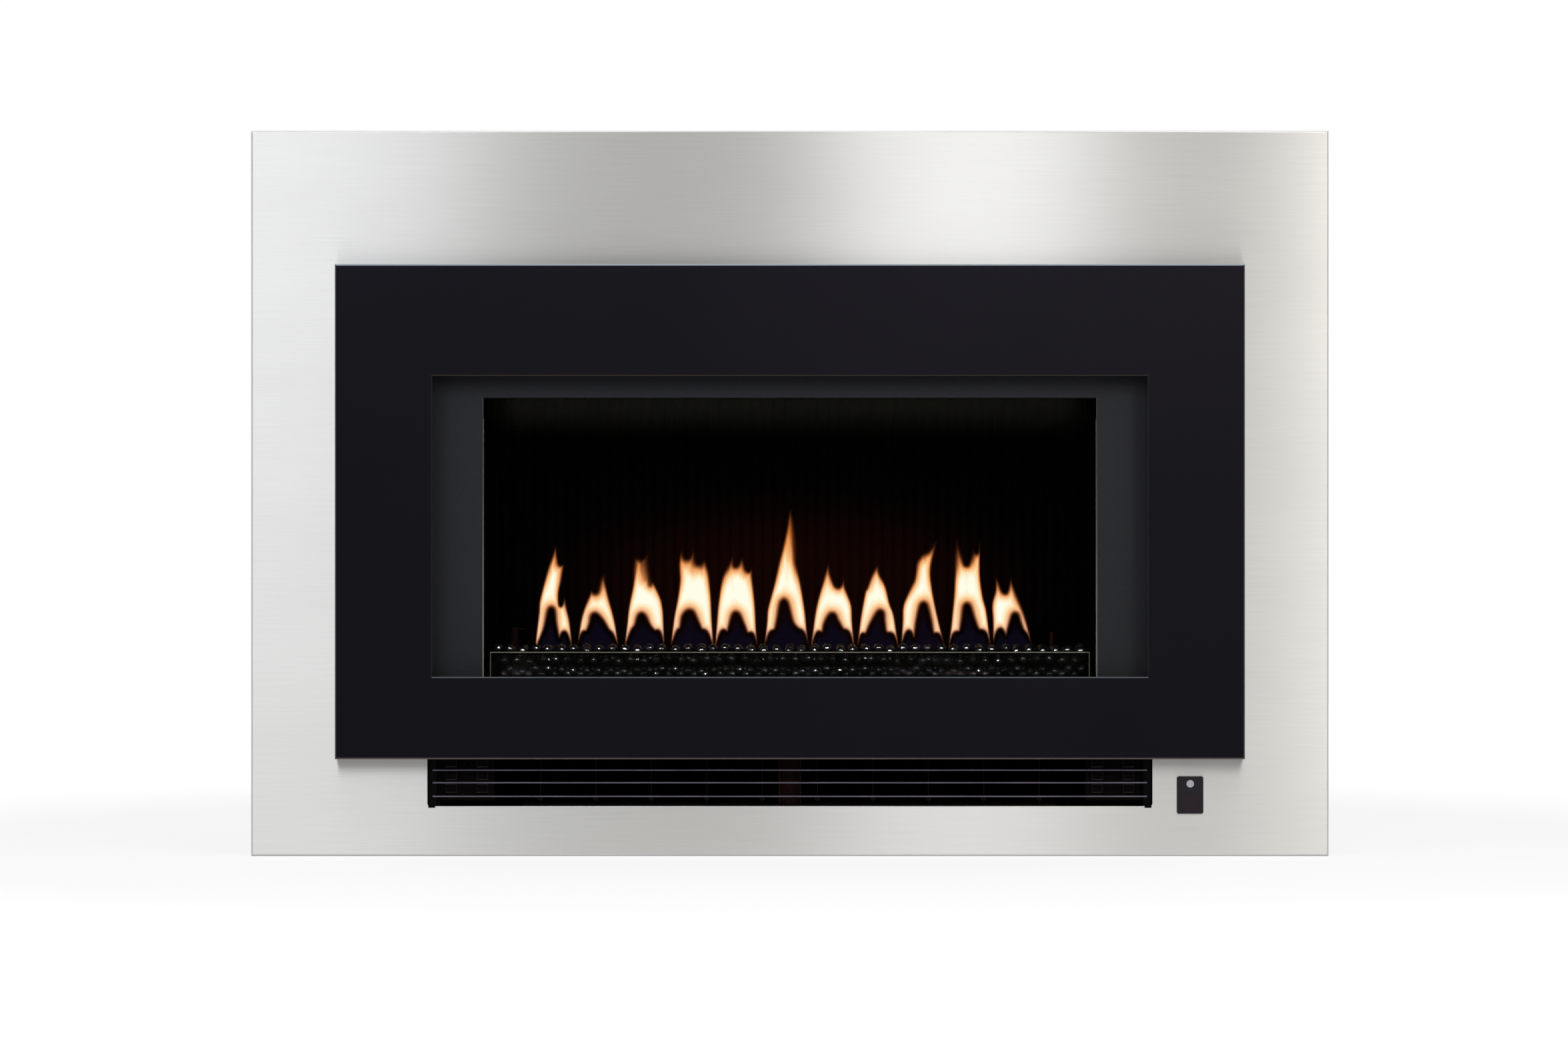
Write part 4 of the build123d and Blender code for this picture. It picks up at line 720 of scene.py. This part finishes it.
def grid_faces(rows, columns):
    """Quads of a grid of points stored row by row."""
    first = (np.arange(rows - 1)[:, None] * columns + np.arange(columns - 1)[None, :]).reshape(-1)
    return np.stack([first, first + 1, first + columns + 1, first + columns], axis=1)


def closed_curve(stations, steps):
    """Smooth loop through the stations: cubic pieces whose slope at a station is that of its neighbours."""
    p0, p1, p2, p3 = (np.roll(stations, shift, axis=0)[:, None, :] for shift in (1, 0, -1, -2))
    f = (np.arange(steps) / steps)[None, :, None]
    curve = 2 * p1 + (p2 - p0) * f + (2 * p0 - 5 * p1 + 4 * p2 - p3) * f**2
    curve += (3 * p1 - p0 - 3 * p2 + p3) * f**3
    return 0.5 * curve.reshape(-1, stations.shape[1])


def smooth(share):
    """3 t^2 - 2 t^3 of a share kept between 0 and 1."""
    t = np.clip(share, 0, 1)
    return t * t * (3 - 2 * t)


# ---- pebble bed

BEAD_RINGS = 5
BEAD_SIDES = 8
BED_LAYERS = 4
TRAY_WALL = 2.2 * MM  # the tray's sheet and a little air
TRAY_FLOOR = TRAY[1].z - 16.5 * MM
FENCE_GAP = 2.6 * MM  # from the fence to the first pebbles
BURNER_REACH = 18.6 * MM  # kept clear on each side of the burner's middle
PROBE_REACH = (9 * MM, 7.5 * MM)  # kept clear round a probe, in x and y


def bead():
    """Unit sphere's points, (cos a sin b, sin a sin b, cos b) in rings and two poles, and its faces."""
    b = np.linspace(0, np.pi, BEAD_RINGS + 2)[1:-1]
    a = np.arange(BEAD_SIDES) * 2 * np.pi / BEAD_SIDES
    x, y = np.outer(np.sin(b), np.cos(a)), np.outer(np.sin(b), np.sin(a))
    rings = np.stack([x, y, np.outer(np.cos(b), np.ones(BEAD_SIDES))], axis=2).reshape(-1, 3)
    points = np.vstack([rings, [[0, 0, 1], [0, 0, -1]]])
    top, bottom = len(rings), len(rings) + 1
    side = np.arange(BEAD_SIDES)
    after = (side + 1) % BEAD_SIDES
    last = (BEAD_RINGS - 1) * BEAD_SIDES
    bands = []
    for upper in range(0, last, BEAD_SIDES):
        lower = upper + BEAD_SIDES
        bands.append(np.stack([upper + side, lower + side, lower + after, upper + after], 1))
    caps = [
        np.stack([np.full(BEAD_SIDES, top), side, after], 1),
        np.stack([np.full(BEAD_SIDES, bottom), last + after, last + side], 1),
    ]
    return points, np.vstack(bands), np.vstack(caps)


def bead_places(settings, rng):
    """Centres of the pebbles: jittered rows and layers in the tray, clear of the burner and the probes."""
    radius = settings.radius
    pitch = 2 * radius * 1.02
    left, right = TRAY[0].x + TRAY_WALL + radius, TRAY[1].x - TRAY_WALL - radius
    front, back = FENCE[1].y + FENCE_GAP + radius, TRAY[1].y - TRAY_WALL - radius
    x = np.arange(left, right, pitch)
    y = np.arange(front, back, pitch * 0.92)
    layers = []
    for level in range(BED_LAYERS):
        gx, gy = np.meshgrid(x + (level % 2) * pitch / 2, y, indexing="ij")
        top = np.where(gy < front + 2.2 * pitch, settings.heap_top, settings.bed_top)
        gz = top - radius - level * pitch * 0.8
        layers.append(np.stack([gx, gy, gz], axis=2).reshape(-1, 3))
    places = np.vstack(layers)
    places[:, :2] += rng.uniform(-0.16, 0.16, (len(places), 2)) * radius
    places[:, 2] -= rng.uniform(0, 0.5, len(places)) * radius
    places[:, 2] = np.maximum(places[:, 2], TRAY_FLOOR + radius)
    px, py, pz = places.T
    over_burner = (np.abs(py - BURNER_Y) < BURNER_REACH + radius) & (px > BURNER[0].x - radius - MM)
    over_burner &= px < BURNER[1].x + radius + MM
    inside = (px > left) & (px < right) & (py > front - radius * 0.2) & (py < back + radius * 0.2)
    keep = inside & ~(over_burner & (pz < BURNER[1].z + radius))
    for probe in (SPARK, SENSOR):
        middle = (probe[0].x + probe[1].x) / 2
        off_x, off_y = np.abs(px - middle) - radius, np.abs(py - BURNER_Y) - radius
        keep &= (off_x > PROBE_REACH[0]) | (off_y > PROBE_REACH[1])
    return places[keep]


def make_pebbles(settings):
    """Rounded pebbles: unit spheres stretched a little along each axis, then moved to their places."""
    rng = np.random.default_rng(settings.seed)
    places = bead_places(settings, rng)
    points, bands, caps = bead()
    size = settings.radius * rng.uniform(0.86, 1.04, (len(places), 1))
    size = size * rng.uniform(0.86, 1.0, (len(places), 3))
    turn = rng.uniform(0, 2 * np.pi, len(places))
    cos, sin = np.cos(turn)[:, None], np.sin(turn)[:, None]
    x, y, z = np.moveaxis(points[None] * size[:, None, :], 2, 0)
    turned = np.stack([x * cos - y * sin, x * sin + y * cos, z], axis=2)
    all_points = (turned + places[:, None, :]).reshape(-1, 3)
    shift = (np.arange(len(places)) * len(points))[:, None, None]
    quads = (bands[None] + shift).reshape(-1, 4)
    tris = (caps[None] + shift).reshape(-1, 3)
    piece = mesh_object("pebble_bed", all_points, quads.tolist() + tris.tolist())
    piece.data.materials.append(pebble_glass())
    bpy.data.collections.new("glinting_pebbles").objects.link(piece)
    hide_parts("glass_pebbles")
    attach(piece, "casing")


# ---- flames

GRID_X, GRID_Z = 1.0 * MM, 1.5 * MM  # spacing of a flame's points
FLAME_FOOT = 207 * MM  # lowest points, just over the pebbles
FOOT_DEPTH = 8 * MM  # how deep the unburnt gas takes to show at a foot
FOOT_LEVEL = 219  # a crown's points under this height, in millimetres, are its feet
FOOT_DROP = 7  # how far the feet are let down, in millimetres
EDGE_GAIN, EDGE_START = 1.75, 0.5  # an edge's depth d becomes 1.75 d + 0.5, in whole millimetres
EDGE_LIMIT = 22  # deeper edges, in millimetres, stay as they are
HEM_HEIGHTS = (222 * MM, 245 * MM)  # between them the fire's lower edge grows softer
LOW_HEM_DEPTH = 12 * MM  # its depth at the lower height; at the upper one it is the hem depth


def depth_inside(loop, x, z):
    """Least distance to the loop's edges, each as a share of the depth given there; 0 outside the loop."""
    here, there = loop.T[:, None, :], np.roll(loop, -1, axis=0).T[:, None, :]
    px, pz = x.reshape(-1, 1), z.reshape(-1, 1)
    run, rise, change = there - here
    t = np.clip(((px - here[0]) * run + (pz - here[1]) * rise) / (run**2 + rise**2 + 1e-12), 0, 1)
    gap = np.hypot(px - here[0] - t * run, pz - here[1] - t * rise)
    share = (gap / (here[2] + t * change)).min(axis=1)
    crosses = (here[1] > pz) != (there[1] > pz)
    crosses &= px < here[0] + (pz - here[1]) * run / np.where(rise == 0, 1e-12, rise)
    inside = crosses.sum(axis=1) % 2 == 1
    return np.where(inside, share, 0).reshape(x.shape)


def crown_points(crown):
    """A crown in metres: its feet let down to the pebbles, and all but the deepest of its edges softened."""
    x, z, depth = np.array(crown, float).T
    z = np.where(z < FOOT_LEVEL, z - FOOT_DROP, z)
    softened = np.rint(EDGE_GAIN * depth + EDGE_START)
    return np.column_stack([x, z, np.where(depth > EDGE_LIMIT, depth, softened)]) * MM


def flame_fields(sheets, hem_depth, x, z):
    """Heat and root glow over a grid: smooth share of the depth inside each sheet, and under its arches."""
    cold = np.ones_like(x)
    root = np.zeros_like(x)
    for crown, hem in sheets:
        upper = crown_points(crown)
        lower = np.array(hem) * MM
        depth = np.interp(lower[:, 1], HEM_HEIGHTS, (LOW_HEM_DEPTH, hem_depth))
        lower = np.column_stack([lower, depth])
        cold = cold * (1 - smooth(depth_inside(closed_curve(np.vstack([upper, lower]), 6), x, z)))
        if upper[0, 1] < HEM_HEIGHTS[0]:
            feet = [[upper[end, 0], FLAME_FOOT, FOOT_DEPTH] for end in (0, -1)]
            root = np.maximum(root, smooth(2 * depth_inside(np.vstack([lower, feet]), x, z)))
    return 1 - cold, root


def burning_gas(settings):
    """Luminous yellow gas flame: cream where it is hot, orange at its edges, brown where it dies out.

    Near the slots the edges are salmon, and the unburnt gas under the arches has a faint violet glow.
    """
    material, tree = new_tree("burning_gas")
    height = add(tree, "SeparateXYZ", {0: add(tree, "TexCoord").outputs["Object"]}).outputs[2]
    high = spread(tree, height, 0, 1, (0.25, 0.30))
    streaks = grain(tree, 7, stretch=(1, 1, 8))
    darkest = spread(tree, high, 0.92, 0.55)
    flicker = add(tree, "Mix", {0: streaks, 2: darkest, 3: 1.08}).outputs[0]
    heat = add(tree, "Attribute", attribute_name="fire_heat").outputs["Fac"]
    heat = add(tree, "Math", {0: heat, 1: flicker}, operation="MULTIPLY").outputs[0]
    root = add(tree, "Attribute", attribute_name="fire_root").outputs["Fac"]
    low = spread(tree, height, 0, 1, (0.262, 0.222))
    steps = [spread(tree, heat, 0, 1, span) for span in ((0.02, 0.24), (0.20, 0.52), (0.48, 0.86))]
    crest = spread(tree, height, 0, 1, (0.27, 0.33))
    edge = mixed(tree, crest, mixed(tree, low, settings.edge, settings.foot), settings.crest)
    body = mixed(tree, crest, settings.body, settings.crest_body)
    colour = mixed(tree, steps[0], settings.tip, edge)
    colour = mixed(tree, steps[1], colour, body)
    colour = mixed(tree, steps[2], colour, settings.core)
    shown = spread(tree, heat, 0, 1, (0, 0.32), interpolation_type="SMOOTHSTEP")
    unburnt = spread(tree, root, 0.0, 0.85)
    either = add(tree, "Math", {0: shown, 1: unburnt}, operation="MAXIMUM").outputs[0]
    fire_share = add(tree, "Math", {0: shown, 1: either}, operation="DIVIDE").outputs[0]
    values = {
        "Base Color": linear("#000000"),
        "Roughness": 1.0,
        "Specular IOR Level": 0.0,
        "Emission Color": mixed(tree, fire_share, settings.root, colour),
        "Emission Strength": settings.brightness,
        "Alpha": either,
    }
    close(tree, values)
    return material


def make_flames(settings):
    """Each flame is a lens over a grid in x and z: y = burner -+ thickness times the root of its heat."""
    material = burning_gas(settings)
    for number, sheets in enumerate(FLAMES, start=1):
        crown = np.vstack([crown_points(sheet[0]) for sheet in sheets])
        x, z = np.meshgrid(
            np.arange(crown[:, 0].min() - 3 * GRID_X, crown[:, 0].max() + 3 * GRID_X, GRID_X),
            np.arange(FLAME_FOOT, crown[:, 1].max() + 3 * GRID_Z, GRID_Z),
        )
        heat, root = flame_fields(sheets, settings.hem_depth, x, z)
        body = np.maximum(heat, 0.4 * root).reshape(-1)
        reach = settings.thickness * np.sqrt(body)
        front = np.stack([x.reshape(-1), BURNER_Y - reach, z.reshape(-1)], axis=1)
        back = front * (1, -1, 1) + (0, 2 * BURNER_Y, 0)
        quads = grid_faces(*x.shape)
        quads = quads[(body[quads] > 0).any(axis=1)]
        rear = quads[:, ::-1]
        faces = np.vstack([quads, np.where(body[rear] > 0, rear + len(front), rear)])
        used, faces = np.unique(faces, return_inverse=True)
        fields = {"fire_heat": heat, "fire_root": root}
        fields = {label: np.tile(field.reshape(-1), 2)[used] for label, field in fields.items()}
        points = np.vstack([front, back])[used]
        piece = mesh_object(f"flame_{number:02d}", points, faces.reshape(-1, 4).tolist(), fields)
        piece.data.materials.append(material)
        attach(piece, "casing")


# ---- stage

LAMP_GAP = 1.6  # from the surround's face to the lamps
LAMP_AIM = 0.4  # height on the surround that they point at
SOFT_BOXES = (  # name, x, height, size, share of the lamps' level, tint
    ("lamp_left", -0.8, 1.2, (0.8, 0.76), 1.0, "#F3F6FF"),
    ("lamp_middle", 0.24, 0.95, (0.36, 0.76), 1.02, "#FAFBFF"),
    ("lamp_right", 0.96, 1.12, (0.5, 0.76), 1.72, "#FFFDF8"),
)


def make_camera(settings):
    """A camera in front of the surround, level, whose picture is view_width wide in the surround's plane."""
    camera = bpy.data.cameras.new("camera")
    camera.sensor_width = 36
    camera.lens = camera.sensor_width * settings.camera_gap / settings.view_width
    camera.clip_end = 100
    rig = bpy.data.objects.new("camera", camera)
    rig.location = (settings.camera_x, FASCIA[0].y - settings.camera_gap, settings.camera_height)
    rig.rotation_euler = (math.pi / 2, 0, 0)
    bpy.context.scene.collection.objects.link(rig)
    bpy.context.scene.camera = rig


def lamp(name, place, size, level, colour="#FFFFFF", lit=None):
    """Soft box: a rectangle of even brightness, aimed at the surround, that lights all or one collection."""
    data = bpy.data.lights.new(name, "AREA")
    data.color = linear(colour)[:3]
    data.shape = "RECTANGLE"
    data.size, data.size_y = size
    data.energy = level * math.pi * size[0] * size[1]
    rig = bpy.data.objects.new(name, data)
    rig.location = place
    way = np.array((0, FASCIA[0].y, LAMP_AIM)) - np.array(place)
    rig.rotation_euler = (
        math.atan2(math.hypot(way[0], way[1]), -way[2]), 0, math.atan2(way[1], way[0]) - math.pi / 2
    )
    rig.visible_camera = False
    rig.light_linking.receiver_collection = lit
    bpy.context.scene.collection.objects.link(rig)


def make_lamps(settings):
    """Three soft boxes in front: left, right of the middle and far right. Three more light only pebbles."""
    front = FASCIA[0].y - LAMP_GAP
    for name, x, height, size, share, tint in SOFT_BOXES:
        lamp(name, (x, front, height), size, settings.lamp_level * share, tint)
    pebbles = bpy.data.collections["glinting_pebbles"]
    for number, x in enumerate((-1.0, -0.1, 0.8), start=1):
        lamp(f"lamp_glint_{number}", (x, front, 1.4), (0.5, 0.4), settings.glint_level, lit=pebbles)


def make_room(settings):
    """World: white for the camera and even light for dull surfaces.

    Gloss mirrors a dim room at the camera's height, which grows white upwards and towards the back.
    """
    world = bpy.data.worlds.new("studio")
    bpy.context.scene.world = world
    world.use_nodes = True
    tree = world.node_tree
    tree.nodes.clear()
    way = add(tree, "TexCoord").outputs["Generated"]
    parts = add(tree, "SeparateXYZ", {0: way}).outputs
    back = spread(tree, parts[1], 0, 1, (-0.5, 0.1))
    up = spread(tree, parts[2], 0, 1, (0.06, 0.3))
    open_room = add(tree, "Math", {0: back, 1: up}, operation="MAXIMUM").outputs[0]
    behind = spread(tree, open_room, settings.behind_camera, 0.9)
    rays = add(tree, "LightPath").outputs
    either = {0: rays["Is Glossy Ray"], 1: rays["Is Transmission Ray"]}
    mirrored = add(tree, "Math", either, operation="MAXIMUM").outputs[0]
    level = add(tree, "Mix", {0: mirrored, 2: settings.room_level, 3: behind}).outputs[0]
    level = add(tree, "Mix", {0: rays["Is Camera Ray"], 2: level, 3: 1.0}).outputs[0]
    glow = add(tree, "Background", {"Color": (1, 1, 1, 1), "Strength": level})
    add(tree, "OutputWorld", {"Surface": glow.outputs[0]})


def make_floor(settings):
    """Pale floor: white for the camera, less the shadow that the object casts on it, and dimmer in gloss."""
    half, near, far = 4.0, -3.0, 4.0
    corners = np.array([[-half, near, 0], [half, near, 0], [half, far, 0], [-half, far, 0]])
    piece = mesh_object("floor", corners, [[0, 1, 2, 3]])
    material, tree = new_tree("pale_floor")
    rays = add(tree, "LightPath").outputs
    seen = rays["Is Camera Ray"]
    for ray in ("Is Glossy Ray", "Is Transmission Ray"):
        seen = add(tree, "Math", {0: seen, 1: rays[ray]}, operation="MAXIMUM").outputs[0]
    scuffs = spread(tree, grain(tree, 400), 0.97, 1.0)
    tone = mixed(tree, scuffs, "#000000", settings.floor_colour)
    dull = add(tree, "BsdfDiffuse", {"Color": tone}).outputs[0]
    level = spread(tree, rays["Is Camera Ray"], settings.floor_mirrored, 1.12)
    white = add(tree, "Emission", {"Color": (1, 1, 1, 1), "Strength": level}).outputs[0]
    place = add(tree, "TexCoord").outputs["Object"]
    away = add(tree, "VectorMath", {0: place}, operation="LENGTH").outputs["Value"]
    shadeless = spread(tree, away, 1 - settings.floor_shadow, 1, (0.9, 2.0))
    share = add(tree, "Math", {0: seen, 1: shadeless}, operation="MULTIPLY").outputs[0]
    both = add(tree, "MixShader", {0: share, 1: dull, 2: white})
    add(tree, "OutputMaterial", {"Surface": both.outputs[0]})
    piece.data.materials.append(material)


# ---- finishes of the solids


def finish_nodes(material, *nodes):
    """Gives the solids' objects one material."""
    for name in nodes:
        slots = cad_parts[name].data.materials
        slots.clear()
        slots.append(material)


class FIRE_OT_surround(bpy.types.Operator):
    """Brushed steel surround"""

    bl_idname = "fire.surround"
    bl_label = "Surround"

    def execute(self, context):
        finish_nodes(brushed_stainless(), "fascia")
        return {"FINISHED"}


class FIRE_OT_door(bpy.types.Operator):
    """Black lift-off door with its studs and catches"""

    bl_idname = "fire.door"
    bl_label = "Door"

    def execute(self, context):
        finish_nodes(satin_black_powder(), "door_panel")
        finish_nodes(zinc_plated_steel(), "door_studs", "door_catches", "front_screws", "levelling_feet")
        return {"FINISHED"}


class FIRE_OT_window(bpy.types.Operator):
    """Charcoal frame, ceramic pane and gasket"""

    bl_idname = "fire.window"
    bl_label = "Window"

    def execute(self, context):
        finish_nodes(charcoal_paint(), "window_frame")
        finish_nodes(ceramic_pane(), "window_glass")
        finish_nodes(woven_gasket(), "glass_gasket")
        return {"FINISHED"}


class FIRE_OT_firebox(bpy.types.Operator):
    """Enamelled chamber, its liners, burner, tray, fence and probes"""

    bl_idname = "fire.firebox"
    bl_label = "Firebox"

    def execute(self, context):
        finish_nodes(
            black_enamel(), "mounting_frame", "firebox_front", "firebox_floor", "firebox_legs",
            "firebox_left", "firebox_right", "firebox_top", "firebox_back", "burner_tray",
        )
        # the rear liner's red-brown oval is the flames' light, painted
        finish_nodes(enamel_with_painted_glow(), "rear_liner")
        finish_nodes(black_glass(), "side_liner_left", "side_liner_right")
        finish_nodes(satin_stainless(), "liner_trims", "heat_exchanger", "burner")
        finish_nodes(fence_glass(), "glass_fence")
        finish_nodes(glazed_ceramic(), "spark_electrode")
        finish_nodes(scorched_steel(), "flame_sensor")
        return {"FINISHED"}


class FIRE_OT_outlet(bpy.types.Operator):
    """Warm air outlet with its wires, vanes, bracket and end blocks"""

    bl_idname = "fire.outlet"
    bl_label = "Outlet"

    def execute(self, context):
        finish_nodes(outlet_wire(), "outlet_grille")
        # the duct's near-black paint is painted shade
        finish_nodes(dull_paint_as_duct_shade(), "duct_floor", "duct_top", "guide_vanes")
        finish_nodes(red_brown_lacquer(), "outlet_bracket")
        finish_nodes(brown_moulding(), "outlet_end_left", "outlet_end_right")
        return {"FINISHED"}


class FIRE_OT_controls(bpy.types.Operator):
    """Control pad, button, receiver window, board and gland"""

    bl_idname = "fire.controls"
    bl_label = "Controls"

    def execute(self, context):
        finish_nodes(moulded_plastic("plum_black_moulding", ("#171217", "#1E181E")), "control_pad")
        finish_nodes(moulded_plastic("receiver_window", ("#22161E", "#2C1D27"), (0.1, 0.18)), "ir_window")
        silver = ("#BBBDC5", "#C6C8D0")
        button = plain_finish("silvered_button", silver, (0.3, 0.34), 0.6, 0.002, {"Metallic": 0.6})
        finish_nodes(button, "standby_button")
        finish_nodes(circuit_board(), "control_board")
        finish_nodes(moulded_plastic("black_nylon", ("#141415", "#202022")), "cable_gland")
        return {"FINISHED"}


class FIRE_OT_works(bpy.types.Operator):
    """Casing, gas train, blower and flue"""

    bl_idname = "fire.works"
    bl_label = "Works"

    def execute(self, context):
        finish_nodes(
            galvanised_sheet(), "casing_base", "casing_left", "casing_right", "casing_top", "casing_back",
            "board_cover",
        )
        # the blower's parts are near black as painted shade, like the duct
        finish_nodes(dull_paint_as_duct_shade(), "blower_housing", "blower_rotor", "blower_motor")
        bronze = plain_finish("oiled_sintered_bronze", ("#2A1C12", "#3C2A1B"), (0.4, 0.55), 1.2, 0.02)
        finish_nodes(bronze, "blower_bearing")
        finish_nodes(zinc_plated_steel(), "flue_fan_motor")
        finish_nodes(satin_stainless(), "flue_collector", "flue_fan_housing", "flue_impeller", "flue_spigot")
        finish_nodes(cast_aluminium(), "gas_valve")
        finish_nodes(drawn_copper(), "gas_supply_pipe", "burner_pipe")
        finish_nodes(turned_brass(), "gas_inlet", "gas_injector")
        return {"FINISHED"}


class FIRE_OT_pebbles(bpy.types.Operator):
    """Bed of black glass pebbles"""

    bl_idname = "fire.pebbles"
    bl_label = "Pebbles"

    def execute(self, context):
        make_pebbles(context.scene.fire_pebbles)
        return {"FINISHED"}


class FIRE_OT_flames(bpy.types.Operator):
    """Row of flames over the burner"""

    bl_idname = "fire.flames"
    bl_label = "Flames"

    def execute(self, context):
        make_flames(context.scene.fire_flames)
        return {"FINISHED"}


class FIRE_OT_stage(bpy.types.Operator):
    """Camera, lamps, room and floor"""

    bl_idname = "fire.stage"
    bl_label = "Stage"

    def execute(self, context):
        settings = context.scene.fire_studio
        make_camera(settings)
        make_lamps(settings)
        make_room(settings)
        make_floor(settings)
        context.scene.view_settings.view_transform = "Standard"
        return {"FINISHED"}


STEPS = (
    "surround", "door", "window", "firebox", "outlet", "controls", "works", "pebbles", "flames", "stage"
)


class FIRE_PT_panel(bpy.types.Panel):
    """Lists the steps in the order that they are made"""

    bl_idname = "FIRE_PT_panel"
    bl_label = "Gas Fire"
    bl_space_type = "VIEW_3D"
    bl_region_type = "UI"
    bl_category = "Gas Fire"

    def draw(self, context):
        for step in STEPS:
            self.layout.operator(f"fire.{step}")


CLASSES = (
    StudioSettings, PebbleSettings, FlameSettings,
    FIRE_OT_surround, FIRE_OT_door, FIRE_OT_window, FIRE_OT_firebox, FIRE_OT_outlet, FIRE_OT_controls,
    FIRE_OT_works, FIRE_OT_pebbles, FIRE_OT_flames, FIRE_OT_stage, FIRE_PT_panel,
)
SETTINGS = {"fire_studio": StudioSettings, "fire_pebbles": PebbleSettings, "fire_flames": FlameSettings}


def register():
    """Registers the classes and hangs the settings on the scene."""
    for item in CLASSES:
        bpy.utils.register_class(item)
    for name, group in SETTINGS.items():
        setattr(bpy.types.Scene, name, PointerProperty(type=group))


def unregister():
    """Takes the settings and the classes away again."""
    for name in SETTINGS:
        delattr(bpy.types.Scene, name)
    for item in reversed(CLASSES):
        bpy.utils.unregister_class(item)


def main():
    """Makes the whole scene."""
    register()
    for step in STEPS:
        getattr(bpy.ops.fire, step)()


if __name__ == "__main__":
    main()
